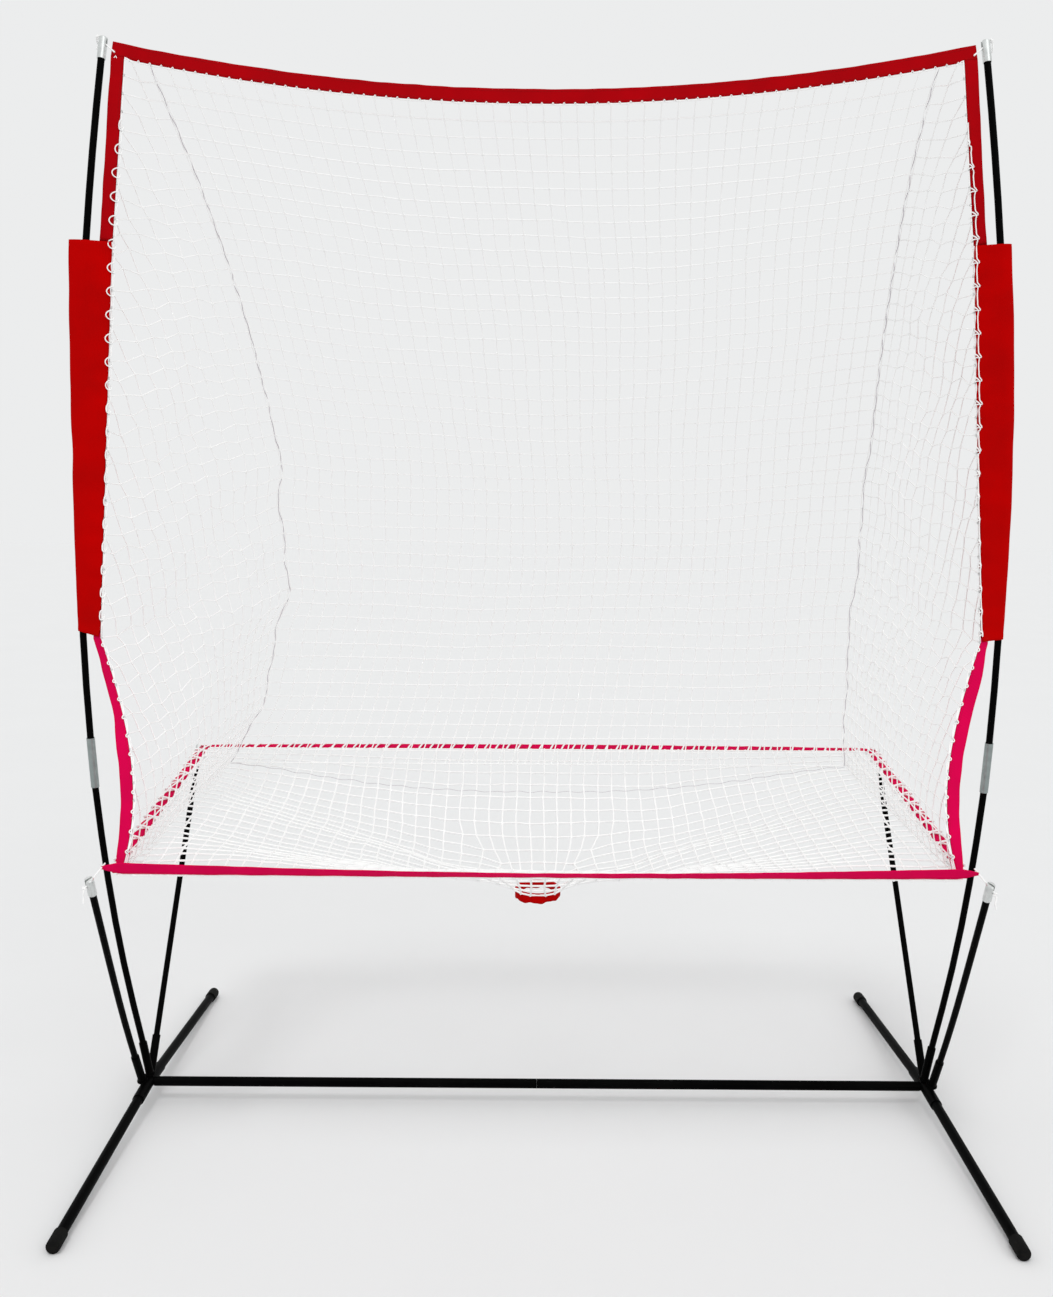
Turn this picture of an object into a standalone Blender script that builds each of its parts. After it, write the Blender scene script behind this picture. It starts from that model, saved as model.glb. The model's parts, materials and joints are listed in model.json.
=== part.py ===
# Tennis ball catch net: a knock-down steel base, six sprung poles, and a pocket net
# that stops the balls and drops them through a ring in its tray.
# The origin is on the floor under the centre. X runs along the crossbar, Y points away
# from the player, and Z is up. Every size is in metres.

import math

import bmesh
import bpy
from mathutils import Matrix, Vector
from mathutils.geometry import interpolate_bezier

OBJECT_NAME = "tennis_ball_catch_net"
CUTTERS = "cutters"
SIDES = (("left", -1), ("right", 1))

# Clearances
SLIP = 0.0003
SEAT = 0.0003

# Steel base
HUB_SPACING = 1.800
HUB_HEIGHT = 0.045
LEG_REACH = 0.600
TUBE_D = 0.022
TUBE_WALL = 0.0015
HUB_WALL = 0.0018
HUB_SLEEVE = 0.085
HUB_SEPTUM = 0.005
HUB_OVERLAP = 0.004
SPIGOT_REACH = 0.080
JOINER_LENGTH = 0.240

# Foot caps
CAP_WALL = 0.0024
CAP_GRIP = 0.038
CAP_NOSE = 0.009
CAP_ROUND = 0.007
CAP_FLAT = 0.0008

# Snap buttons
BUTTON_D = 0.0064
BUTTON_HOLE_D = 0.0072
BUTTON_PROUD = 0.0021
BUTTON_FLANGE_D = 0.0084
BUTTON_FLANGE = 0.0010
BUTTON_INSET = 0.024
CLIP_WIDTH = 0.0044
CLIP_GAUGE = 0.0007
CLIP_LENGTH = 0.020

# Fibreglass poles, given for the right side
POLE_D = 0.014
SOCKET_WALL = 0.0019
SOCKET_DEPTH = 0.070
SOCKET_ROOT = 0.014
MAIN_SEAT = Vector((0.000, 0.000, 0.030))
MAIN_AIM = Vector((0.115, -0.170, 1.000))
MAIN_LIFT = 0.150
MAIN_BELLY = Vector((1.015, -0.288, 1.017))
MAIN_END = Vector((0.885, -0.130, 2.282))
FRONT_SEAT = Vector((0.010, -0.026, 0.024))
FRONT_AIM = Vector((0.030, -0.530, 1.000))
FRONT_LIFT = 0.150
FRONT_BELLY = Vector((0.893, -0.245, 0.400))
FRONT_END = Vector((0.880, -0.387, 0.632))
REAR_SEAT = Vector((0.000, 0.025, 0.026))
REAR_END = Vector((0.895, 0.486, 0.716))
POLE_STRAIGHT = 0.004
LOWER_STEPS = 6
NECK_STEPS = 4
FRONT_STEPS = 8
FERRULE_HEIGHT = 0.830
FERRULE_LENGTH = 0.110
FERRULE_WALL = 0.0014

# Forked pole tips and the ties that hold the net's corners
TIP_WALL = 0.0015
TIP_GRIP = 0.018
TIP_REACH = 0.026
TIP_FORK = 0.019
TIE_D = 0.0034
TIE_SEWN = 0.004
KNOT_D = 0.0090

# Net edges and webbing, given for the right side
WEB_WIDTH = 0.026
WEB_GAUGE = 0.0024
TOP_CORNER = Vector((0.866, -0.135, 2.297))
TOP_TRIM_WIDTH = 0.028
TOP_SAG = 0.082
TOP_BACK = 0.020
SLEEVE_TOP = 1.905
SLEEVE_FOOT = 1.105
SLEEVE_TOP_EDGE = Vector((0.868, -0.152, SLEEVE_TOP))
SLEEVE_FOOT_EDGE = Vector((0.909, -0.190, SLEEVE_FOOT))
SLEEVE_CLOTH = 0.0012
SLEEVE_FOLD = 0.0036
SLEEVE_EASE = 0.0012
SLEEVE_SLACK = 0.016
SLEEVE_WRAP = math.radians(105)
SLEEVE_STEPS = 6
SLEEVE_SHOULDER = 0.45
PULL_UPPER = Vector((0.836, -0.235, 0.910))
PULL_LOWER = Vector((0.786, -0.330, 0.800))

# Tray
TRAY_FRONT = Vector((0.832, -0.376, 0.655))
TRAY_REAR = Vector((0.860, 0.468, 0.737))
FRONT_TRIM_TILT = math.radians(60)
REAR_TRIM_TILT = math.radians(16)
TRIM_TAPER = 0.030
TRIM_POINT = 0.008
FUNNEL_DEPTH = 0.212
FUNNEL_SHARP = 1.35
FUNNEL_SQUARE = 3.0
REAR_SAG = 0.045

# Outlet ring
COLLAR_D = 0.105
COLLAR_WALL = 0.0026
COLLAR_HEIGHT = 0.024
COLLAR_TOP = 0.502
HOOP_D = 0.0045

# Netting
BAR = 0.0040
SEAM_GAP = 0.0028
FOOT_GAP = 0.0062
EDGE_FOOT_IN = 0.010
SEAM_FOOT_IN = 0.081
SEAM_TOP_X = 0.790
SEAM_UPPER = Vector((0.690, 0.120, 1.850))
SEAM_LOWER = Vector((0.650, 0.440, 1.100))
SIDE_FULLNESS = 0.020
BACK_FULLNESS = 0.045
ROWS_ABOVE_SLEEVE = 3
ROWS_AT_SLEEVE = 5
ROWS_BELOW_SLEEVE = 4
SIDE_COLUMNS = 3
TRAY_COLUMNS = 13
TRAY_ROWS = 7

# Facets
TUBE_FACETS = 20
POLE_RINGS = 4
SMALL_FACETS = 12
RING_FACETS = 32

# Sizes that follow from those above
HUB_X = HUB_SPACING / 2
TUBE_R = TUBE_D / 2
HUB_R = TUBE_R + SLIP + HUB_WALL
SPIGOT_R = TUBE_R - TUBE_WALL - SLIP
CAP_R = TUBE_R + SLIP + CAP_WALL
POLE_R = POLE_D / 2
SOCKET_R = POLE_R + SLIP + SOCKET_WALL
TIP_R = POLE_R + SLIP + TIP_WALL
ROWS = ROWS_ABOVE_SLEEVE + ROWS_AT_SLEEVE + ROWS_BELOW_SLEEVE
EDGE_SEAT = BAR / 2 + SEAT
BACK_COLUMNS = TRAY_COLUMNS
FOOT_AXIS = CAP_R - CAP_FLAT
LEG_SLOPE = math.asin((HUB_HEIGHT - FOOT_AXIS) / LEG_REACH)

BLACK_STEEL = ("black_steel", (0.012, 0.012, 0.013), 0.38, 0.55)
BLACK_GLASS = ("black_fibreglass", (0.010, 0.010, 0.011), 0.45, 0.0)
BRIGHT_METAL = ("bright_metal", (0.56, 0.58, 0.57), 0.32, 1.0)
SPRING_STEEL = ("spring_steel", (0.42, 0.43, 0.45), 0.35, 1.0)
BLACK_RUBBER = ("black_rubber", (0.015, 0.015, 0.015), 0.80, 0.0)
WHITE_NET = ("white_net", (0.88, 0.89, 0.88), 0.70, 0.0)
RED_CLOTH = ("red_cloth", (0.43, 0.004, 0.006), 0.78, 0.0)
ROSE_WEB = ("rose_webbing", (0.60, 0.004, 0.045), 0.72, 0.0)
WHITE_CORD = ("white_cord", (0.84, 0.84, 0.82), 0.75, 0.0)


def clear_scene():
    for old in list(bpy.data.objects):
        bpy.data.objects.remove(old)
    for name in (OBJECT_NAME, CUTTERS):
        made = bpy.data.collections.new(name)
        bpy.context.scene.collection.children.link(made)


def material(finish):
    name, colour, roughness, metallic = finish
    made = bpy.data.materials.get(name)
    if made is None:
        made = bpy.data.materials.new(name)
        made.use_nodes = True
        shader = made.node_tree.nodes["Principled BSDF"]
        shader.inputs["Base Color"].default_value = (*colour, 1.0)
        shader.inputs["Roughness"].default_value = roughness
        shader.inputs["Metallic"].default_value = metallic
    return made


def add_part(name, data, finish):
    part = bpy.data.objects.new(name, data)
    data.materials.append(material(finish))
    bpy.data.collections[OBJECT_NAME].objects.link(part)
    return part


def add_cutter(name, mesh):
    cutter = bpy.data.objects.new(name, mesh)
    cutter.hide_render = True
    cutter.display_type = "WIRE"
    bpy.data.collections[CUTTERS].objects.link(cutter)
    return cutter


def combine(part, cutter, operation):
    step = part.modifiers.new(cutter.name, "BOOLEAN")
    step.operation = operation
    step.solver = "EXACT"
    step.object = cutter


def along(start, direction):
    """The placement that carries the local Z axis from start along direction."""
    turn = direction.to_track_quat("Z", "Y").to_matrix().to_4x4()
    return Matrix.Translation(start) @ turn


def on_side(point, side):
    return Vector((side * point.x, point.y, point.z))


def mesh_from(name, bm):
    mesh = bpy.data.meshes.new(name)
    bm.to_mesh(mesh)
    bm.free()
    return mesh


def rod_mesh(name, start, end, radius, facets):
    """A plain cylinder between two points."""
    bm = bmesh.new()
    run = end - start
    place = along((start + end) / 2, run)
    bmesh.ops.create_cone(
        bm, cap_ends=True, segments=facets, radius1=radius, radius2=radius,
        depth=run.length, matrix=place,
    )
    return mesh_from(name, bm)


def profile_mesh(name, profile, closed):
    """A profile of (radius, height) points, whose outer side runs from top to bottom."""
    bm = bmesh.new()
    corners = [bm.verts.new((radius, 0.0, height)) for radius, height in profile]
    for pair in zip(corners, corners[1:]):
        bm.edges.new(pair)
    if closed:
        bm.edges.new((corners[-1], corners[0]))
    return mesh_from(name, bm)


def turned(name, profile, closed, place, facets, finish):
    part = add_part(name, profile_mesh(name, profile, closed), finish)
    part.matrix_world = place
    turn(part, facets)
    return part


def turn(part, facets):
    screw = part.modifiers.new("turn", "SCREW")
    screw.axis = "Z"
    screw.steps = facets
    screw.render_steps = facets
    screw.use_merge_vertices = True
    screw.merge_threshold = 0.00002
    screw.use_smooth_shade = True


def tube(name, start, end, outer_r, inner_r, facets, finish):
    """An open tube between two points."""
    length = (end - start).length
    profile = [(outer_r, length), (outer_r, 0.0), (inner_r, 0.0), (inner_r, length)]
    return turned(name, profile, True, along(start, end - start), facets, finish)


def arc(centre_r, centre_z, radius, first, last, steps):
    """Points on a profile's round stretch, from one angle to another, in degrees."""
    points = []
    for step in range(steps + 1):
        angle = math.radians(first + (last - first) * step / steps)
        points.append((centre_r + radius * math.cos(angle), centre_z + radius * math.sin(angle)))
    return points


def wire(name, points, radius, resolution, finish):
    """A round rod along a line of points."""
    curve = bpy.data.curves.new(name, "CURVE")
    curve.dimensions = "3D"
    curve.bevel_depth = radius
    curve.bevel_resolution = resolution
    curve.use_fill_caps = True
    spline = curve.splines.new("POLY")
    spline.points.add(len(points) - 1)
    for slot, point in zip(spline.points, points):
        slot.co = (*point, 1.0)
    return add_part(name, curve, finish)


def strip(name, first_edge, second_edge, gauge, finish):
    """A strip of cloth or metal between two lines of points."""
    bm = bmesh.new()
    rails = []
    for line in (first_edge, second_edge):
        corners = [bm.verts.new(point) for point in line]
        rails += [bm.edges.new(pair) for pair in zip(corners, corners[1:])]
    bmesh.ops.bridge_loops(bm, edges=rails)
    return thickened(name, bm, gauge, finish)


def thickened(name, bm, gauge, finish):
    part = add_part(name, mesh_from(name, bm), finish)
    shell = part.modifiers.new("gauge", "SOLIDIFY")
    shell.thickness = gauge
    shell.offset = 0.0
    return part


def netting(name, columns, rows, place):
    """A lattice of cords: place(column, row) gives the crossing's point."""
    bm = bmesh.new()
    bmesh.ops.create_grid(bm, x_segments=columns, y_segments=rows, size=0.5)
    for crossing in bm.verts:
        column = round((crossing.co.x + 0.5) * columns)
        row = round((crossing.co.y + 0.5) * rows)
        crossing.co = place(column, row)
    part = add_part(name, mesh_from(name, bm), WHITE_NET)
    cords = part.modifiers.new("cords", "WIREFRAME")
    cords.thickness = BAR
    cords.use_boundary = True
    cords.use_even_offset = True
    cords.use_replace = True
    return part


def hub_centre(side):
    return Vector((side * HUB_X, 0.0, HUB_HEIGHT))


def leg_direction(end):
    return Vector((0.0, end * math.cos(LEG_SLOPE), -math.sin(LEG_SLOPE)))


# Pole lines

def socket_lines(side):
    """Each pole socket's seat and direction, by the pole's name."""
    centre = hub_centre(side)
    main_seat = centre + on_side(MAIN_SEAT, side)
    front_seat = centre + on_side(FRONT_SEAT, side)
    rear_seat = centre + on_side(REAR_SEAT, side)
    rear_aim = on_side(REAR_END, side) - rear_seat
    return {
        "main": (main_seat, on_side(MAIN_AIM, side).normalized()),
        "front": (front_seat, on_side(FRONT_AIM, side).normalized()),
        "rear": (rear_seat, rear_aim.normalized()),
    }


def bow_at_height(ends, height):
    """The point at a height on a bow, found by halving."""
    low, high = 0.0, 1.0
    for _ in range(40):
        middle = (low + high) / 2
        if bezier(ends, middle).z < height:
            low = middle
        else:
            high = middle
    return bezier(ends, low)


def bezier(ends, t):
    start, first, second, end = ends
    rest = 1.0 - t
    return (
        start * rest ** 3
        + first * 3 * rest ** 2 * t
        + second * 3 * rest * t ** 2
        + end * t ** 3
    )


def main_bow(side):
    seat, aim = socket_lines(side)["main"]
    mouth = seat + aim * SOCKET_DEPTH
    return (mouth, mouth + aim * MAIN_LIFT, on_side(MAIN_BELLY, side), on_side(MAIN_END, side))


def edge_heights():
    """The heights of the net's rows on its front edge, down to the sleeve's foot."""
    top = top_trim_foot(TOP_CORNER.x) - EDGE_SEAT
    above = [top + (SLEEVE_TOP - top) * row / ROWS_ABOVE_SLEEVE for row in range(ROWS_ABOVE_SLEEVE)]
    drop = SLEEVE_TOP - SLEEVE_FOOT
    beside = [SLEEVE_TOP - drop * row / ROWS_AT_SLEEVE for row in range(ROWS_AT_SLEEVE + 1)]
    return above, beside


def ferrule_ends(side):
    """The straight run of the main pole that its ferrule covers."""
    ends = main_bow(side)
    middle = bow_at_height(ends, FERRULE_HEIGHT)
    above = bow_at_height(ends, FERRULE_HEIGHT + FERRULE_LENGTH / 2)
    run = (above - middle).normalized()
    return middle, run


def main_line(side):
    """The main pole's points below and above its joint."""
    seat, aim = socket_lines(side)["main"]
    ends = main_bow(side)
    middle, run = ferrule_ends(side)
    grip = run * (FERRULE_LENGTH / 2 + POLE_STRAIGHT)
    lower = [seat + aim * SEAT, ends[0] + aim * POLE_STRAIGHT]
    first = ends[0].z
    last = (middle - grip).z
    for step in range(1, LOWER_STEPS):
        lower.append(bow_at_height(ends, first + (last - first) * step / LOWER_STEPS))
    lower += [middle - grip, middle - run * SEAT]
    upper = [middle + run * SEAT, middle + grip]
    upper.append(bow_at_height(ends, ((middle + grip).z + SLEEVE_FOOT) / 2))
    upper += [bow_at_height(ends, height) for height in reversed(edge_heights()[1])]
    neck = on_side(MAIN_END, side) - main_tip_axis(side) * (TIP_GRIP + POLE_STRAIGHT)
    for step in range(1, NECK_STEPS):
        upper.append(bow_at_height(ends, SLEEVE_TOP + (neck.z - SLEEVE_TOP) * step / NECK_STEPS))
    upper += [neck, on_side(MAIN_END, side)]
    return lower, upper


def main_tip_axis(side):
    _, _, second, end = main_bow(side)
    return (end - second).normalized()


def front_line(side):
    seat, aim = socket_lines(side)["front"]
    mouth = seat + aim * SOCKET_DEPTH
    end = on_side(FRONT_END, side)
    belly = on_side(FRONT_BELLY, side)
    axis = (end - belly).normalized()
    neck = end - axis * (TIP_GRIP + POLE_STRAIGHT)
    bow = interpolate_bezier(mouth, mouth + aim * FRONT_LIFT, belly, neck, FRONT_STEPS)
    return [seat + aim * SEAT, mouth + aim * POLE_STRAIGHT, *bow[1:], end], axis


def rear_line(side):
    seat, aim = socket_lines(side)["rear"]
    return [seat + aim * SEAT, on_side(REAR_END, side)], aim


# Net lines, for the right side

def top_trim_head(x):
    """The top trim's upper edge, which sags between the corners."""
    share = 1.0 - (x / TOP_CORNER.x) ** 2
    return TOP_CORNER.z - TOP_SAG * share


def top_trim_foot(x):
    return top_trim_head(x) - TOP_TRIM_WIDTH


def top_trim_back(x):
    return TOP_CORNER.y + TOP_BACK * (1.0 - (x / TOP_CORNER.x) ** 2)


def front_edge():
    """The net's front edge, from its top corner down to the tray's corner."""
    above, beside = edge_heights()
    start = Vector((TOP_CORNER.x - EDGE_SEAT - WEB_WIDTH, TOP_CORNER.y, above[0]))
    points = []
    for first, last, heights in (
        (start, SLEEVE_TOP_EDGE, above),
        (SLEEVE_TOP_EDGE, SLEEVE_FOOT_EDGE, beside),
    ):
        for height in heights:
            points.append(first.lerp(last, (first.z - height) / (first.z - last.z)))
    corner = TRAY_FRONT + Vector((-EDGE_FOOT_IN, BAR, 0.0))
    corner.z = rim_height(corner.y) + FOOT_GAP
    pull = (SLEEVE_FOOT_EDGE, PULL_UPPER, PULL_LOWER, corner)
    for row in range(1, ROWS_BELOW_SLEEVE + 1):
        points.append(bezier(pull, row / ROWS_BELOW_SLEEVE))
    return points


def tray_row_y(row):
    return TRAY_FRONT.y + (TRAY_REAR.y - TRAY_FRONT.y) * row / TRAY_ROWS


def tray_half_width(y):
    share = (y - TRAY_FRONT.y) / (TRAY_REAR.y - TRAY_FRONT.y)
    return TRAY_FRONT.x + (TRAY_REAR.x - TRAY_FRONT.x) * share


def rim_height(y):
    share = (y - TRAY_FRONT.y) / (TRAY_REAR.y - TRAY_FRONT.y)
    return TRAY_FRONT.z + (TRAY_REAR.z - TRAY_FRONT.z) * share


def ring_centre():
    return Vector((0.0, (TRAY_FRONT.y + TRAY_REAR.y) / 2, COLLAR_TOP))


def tray_height(x, y):
    """The tray net's height: a funnel to the ring, with slack behind it."""
    across = min(1.0, abs(x) / tray_half_width(y))
    half = (TRAY_REAR.y - TRAY_FRONT.y) / 2
    deep = (y - ring_centre().y) / half
    spread = (across ** FUNNEL_SQUARE + abs(deep) ** FUNNEL_SQUARE) ** (1 / FUNNEL_SQUARE)
    funnel = FUNNEL_DEPTH * max(0.0, 1.0 - spread) ** FUNNEL_SHARP
    behind = max(0.0, min(1.0, deep))
    slack = REAR_SAG * 4 * behind * (1.0 - behind) * (1.0 - across ** 2)
    return rim_height(y) - funnel - slack


def seam_foot():
    y = tray_row_y(TRAY_ROWS - 1)
    x = tray_half_width(y) - SEAM_FOOT_IN
    return Vector((x, y, tray_height(x, y) + FOOT_GAP))


def seam(row):
    """The join between the side panel and the back panel, from top to foot."""
    head = Vector((SEAM_TOP_X, top_trim_back(SEAM_TOP_X), top_trim_foot(SEAM_TOP_X) - EDGE_SEAT))
    return bezier((head, SEAM_UPPER, SEAM_LOWER, seam_foot()), row / ROWS)


# Base

def make_hub(label, side):
    centre = hub_centre(side)
    inward = Vector((-side, 0.0, 0.0))
    body = rod_mesh(
        f"hub_{label}", centre - leg_direction(1) * HUB_OVERLAP,
        centre + leg_direction(1) * HUB_SLEEVE, HUB_R, TUBE_FACETS,
    )
    hub = add_part(f"hub_{label}", body, BLACK_STEEL)
    solids = [
        ("front_sleeve", centre - leg_direction(-1) * HUB_OVERLAP,
         centre + leg_direction(-1) * HUB_SLEEVE, HUB_R),
        ("spigot", centre + inward * TUBE_R / 2, centre + inward * SPIGOT_REACH, SPIGOT_R),
    ]
    bores = [
        ("rear_bore", centre + leg_direction(1) * HUB_SEPTUM,
         centre + leg_direction(1) * (HUB_SLEEVE + TUBE_R), TUBE_R + SLIP),
        ("front_bore", centre + leg_direction(-1) * HUB_SEPTUM,
         centre + leg_direction(-1) * (HUB_SLEEVE + TUBE_R), TUBE_R + SLIP),
        ("spigot_bore", centre + inward * (HUB_R + TUBE_WALL),
         centre + inward * (SPIGOT_REACH + TUBE_R), SPIGOT_R - TUBE_WALL),
    ]
    for pole, (seat, aim) in socket_lines(side).items():
        solids.append((f"{pole}_socket", seat - aim * SOCKET_ROOT, seat + aim * SOCKET_DEPTH, SOCKET_R))
        bores.append((f"{pole}_bore", seat, seat + aim * (SOCKET_DEPTH + POLE_D), POLE_R + SLIP))
    for operation, shapes in (("UNION", solids), ("DIFFERENCE", bores)):
        for what, start, end, radius in shapes:
            mesh = rod_mesh(f"{what}_{label}", start, end, radius, TUBE_FACETS)
            combine(hub, add_cutter(f"{what}_{label}", mesh), operation)
    return hub


def button_places(side):
    """Each snap button's place on its tube: centre, outward way, tube way and tube radii."""
    centre = hub_centre(side)
    outboard = Vector((side, 0.0, 0.0))
    rearward = Vector((0.0, 1.0, 0.0))
    leg = (HUB_R, TUBE_R - TUBE_WALL)
    bar = (TUBE_R, SPIGOT_R - TUBE_WALL)
    places = {}
    for end_label, end in (("front", -1), ("rear", 1)):
        run = leg_direction(end)
        spot = centre + run * (HUB_SLEEVE - BUTTON_INSET)
        places[f"leg_{end_label}"] = (spot, outboard, run, *leg)
    spot = centre - outboard * (SPIGOT_REACH - BUTTON_INSET)
    places["crossbar"] = (spot, rearward, outboard, *bar)
    return places


def joiner_button_place():
    """The joiner is swaged into the left half, and snaps into the right half."""
    spot = Vector((JOINER_LENGTH / 2 - BUTTON_INSET, 0.0, HUB_HEIGHT))
    return spot, Vector((0.0, 1.0, 0.0)), Vector((-1.0, 0.0, 0.0)), TUBE_R, SPIGOT_R - TUBE_WALL


def cut_button_hole(part, name, place):
    spot, outward, _, outer_r, _ = place
    mesh = rod_mesh(name, spot, spot + outward * (outer_r + BUTTON_D), BUTTON_HOLE_D / 2, SMALL_FACETS)
    combine(part, add_cutter(name, mesh), "DIFFERENCE")


def flange_top(inner_r):
    """How far from the tube's middle the button's flange meets the round wall."""
    flat_r = inner_r * math.cos(math.pi / TUBE_FACETS)
    return math.sqrt(flat_r ** 2 - (BUTTON_FLANGE_D / 2) ** 2) - SEAT


def make_button(name, place):
    spot, outward, _, outer_r, inner_r = place
    button_r = BUTTON_D / 2
    head = outer_r + BUTTON_PROUD
    shelf = flange_top(inner_r)
    dome = arc(button_r / 2, head - button_r / 2, button_r / 2, 90, 0, 3)
    profile = [
        (0.0, head),
        *dome,
        (button_r, shelf),
        (BUTTON_FLANGE_D / 2, shelf),
        (BUTTON_FLANGE_D / 2, shelf - BUTTON_FLANGE),
        (0.0, shelf - BUTTON_FLANGE),
    ]
    return turned(name, profile, False, along(spot, outward), SMALL_FACETS, BRIGHT_METAL)


def make_clip(name, place):
    """A bent leaf in its tube, whose upper arm ends beside the button's flange."""
    spot, outward, run, _, inner_r = place
    across = outward.cross(run).normalized() * CLIP_WIDTH / 2
    flat_r = inner_r * math.cos(math.pi / TUBE_FACETS)
    floor = -math.sqrt(flat_r ** 2 - across.length ** 2) + CLIP_GAUGE / 2 + SEAT
    arm = flange_top(inner_r) - BUTTON_FLANGE / 2
    bend_r = (arm - floor) / 2
    near = BUTTON_FLANGE_D / 2 + SEAT
    bend = arc(CLIP_LENGTH - bend_r, (arm + floor) / 2, bend_r, 90, -90, 6)
    path = [(near, arm), *bend, (-near, floor)]
    centres = [spot + run * distance + outward * height for distance, height in path]
    strip(
        name, [point - across for point in centres], [point + across for point in centres],
        CLIP_GAUGE, SPRING_STEEL,
    )


def make_leg(label, end_label, side, end, places):
    centre = hub_centre(side)
    run = leg_direction(end)
    name = f"leg_{end_label}_{label}"
    leg = tube(
        name, centre + run * (HUB_SEPTUM + SEAT), centre + run * LEG_REACH,
        TUBE_R, TUBE_R - TUBE_WALL, TUBE_FACETS, BLACK_STEEL,
    )
    cut_button_hole(leg, f"{name}_button_hole", places[f"leg_{end_label}"])


def make_foot_cap(label, end_label, side, end):
    """A rubber cup over the leg's end, with a rounded nose and a flat to stand on."""
    run = leg_direction(end)
    place = along(hub_centre(side) + run * LEG_REACH, run)
    nose = arc(CAP_R - CAP_ROUND, CAP_NOSE - CAP_ROUND, CAP_ROUND, 90, 0, 5)
    profile = [
        (0.0, CAP_NOSE),
        *nose,
        (CAP_R, -CAP_GRIP),
        (TUBE_R + SLIP, -CAP_GRIP),
        (TUBE_R + SLIP, SEAT),
        (0.0, SEAT),
    ]
    name = f"foot_cap_{end_label}_{label}"
    cap = turned(name, profile, False, place, TUBE_FACETS, BLACK_RUBBER)
    bm = bmesh.new()
    bmesh.ops.create_cube(bm, size=LEG_REACH / 2)
    floor = mesh_from(f"{name}_floor", bm)
    cutter = add_cutter(f"{name}_floor", floor)
    cutter.location = place.translation
    cutter.location.z = -LEG_REACH / 4
    combine(cap, cutter, "DIFFERENCE")


def make_crossbar(label, side, places):
    start = Vector((side * SEAT / 2, 0.0, HUB_HEIGHT))
    end = Vector((side * (HUB_X - HUB_R - SEAT), 0.0, HUB_HEIGHT))
    bar = tube(
        f"crossbar_{label}", start, end, TUBE_R, TUBE_R - TUBE_WALL, TUBE_FACETS, BLACK_STEEL,
    )
    cut_button_hole(bar, f"crossbar_{label}_hole", places["crossbar"])
    return bar


def make_base():
    joiner = tube(
        "crossbar_joiner", Vector((-JOINER_LENGTH / 2, 0.0, HUB_HEIGHT)),
        Vector((JOINER_LENGTH / 2, 0.0, HUB_HEIGHT)), SPIGOT_R, SPIGOT_R - TUBE_WALL,
        TUBE_FACETS, BRIGHT_METAL,
    )
    snap = joiner_button_place()
    cut_button_hole(joiner, "joiner_hole", snap)
    for label, side in SIDES:
        places = button_places(side)
        hub = make_hub(label, side)
        for what in ("leg_front", "leg_rear", "crossbar"):
            cut_button_hole(hub, f"hub_{label}_{what}_hole", places[what])
            make_button(f"{what}_button_{label}", places[what])
            make_clip(f"{what}_clip_{label}", places[what])
        bar = make_crossbar(label, side, places)
        if side > 0:
            cut_button_hole(bar, "crossbar_joiner_hole", snap)
        for end_label, end in (("front", -1), ("rear", 1)):
            make_leg(label, end_label, side, end, places)
            make_foot_cap(label, end_label, side, end)
    make_button("joiner_button", snap)
    make_clip("joiner_clip", snap)


# Poles

def make_tip(name, end, axis, corner):
    """A metal cap on a pole's end, forked for the tie that runs to the net's corner."""
    place = along(end, axis)
    profile = [
        (0.0, TIP_REACH),
        (TIP_R - TIP_WALL, TIP_REACH),
        (TIP_R, TIP_REACH - TIP_WALL),
        (TIP_R, -TIP_GRIP),
        (POLE_R + SLIP, -TIP_GRIP),
        (POLE_R + SLIP, SEAT),
        (0.0, SEAT),
    ]
    tip = turned(name, profile, False, place, TUBE_FACETS, BRIGHT_METAL)
    toward = corner - fork_middle(end, axis)
    sideways = toward.cross(axis).normalized()
    level = sideways.cross(axis)
    bm = bmesh.new()
    bmesh.ops.create_cube(bm, size=1.0)
    size = Matrix.Diagonal((TIP_R * 4, TIE_D + 2 * SLIP, TIP_FORK + TIP_WALL, 1.0))
    turn = Matrix((level, sideways, axis)).transposed().to_4x4()
    middle = end + axis * (TIP_REACH - TIP_FORK / 2 + TIP_WALL / 2)
    bmesh.ops.transform(bm, matrix=Matrix.Translation(middle) @ turn @ size, verts=bm.verts)
    combine(tip, add_cutter(f"{name}_slot", mesh_from(f"{name}_slot", bm)), "DIFFERENCE")


def tip_axes(side):
    """Each pole's end and the way its tip points."""
    rear, rear_axis = rear_line(side)
    front, front_axis = front_line(side)
    return {
        "main": (on_side(MAIN_END, side), main_tip_axis(side)),
        "front": (front[-1], front_axis),
        "rear": (rear[-1], rear_axis),
    }


def fork_middle(end, axis):
    return end + axis * (TIP_REACH - TIP_FORK / 2)


def add_tie(trim, name, corner, end, axis):
    """A cord sewn to a trim's end, which runs through the pole's fork to a knot."""
    run = (fork_middle(end, axis) - corner).normalized()
    start = corner - run * TIE_SEWN
    slant = run.cross(axis).length
    knot_middle = fork_middle(end, axis) + run * (TIP_R + SEAT + KNOT_D / 2) / slant
    length = (knot_middle - start).length + KNOT_D / 2
    knot = arc(0.0, length - KNOT_D / 2, KNOT_D / 2, 90, -60, 5)
    profile = [*knot, (TIE_D / 2, length - KNOT_D), (TIE_D / 2, 0.0), (0.0, 0.0)]
    cutter = add_cutter(name, profile_mesh(name, profile, False))
    cutter.matrix_world = along(start, run)
    turn(cutter, SMALL_FACETS)
    combine(trim, cutter, "UNION")


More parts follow.
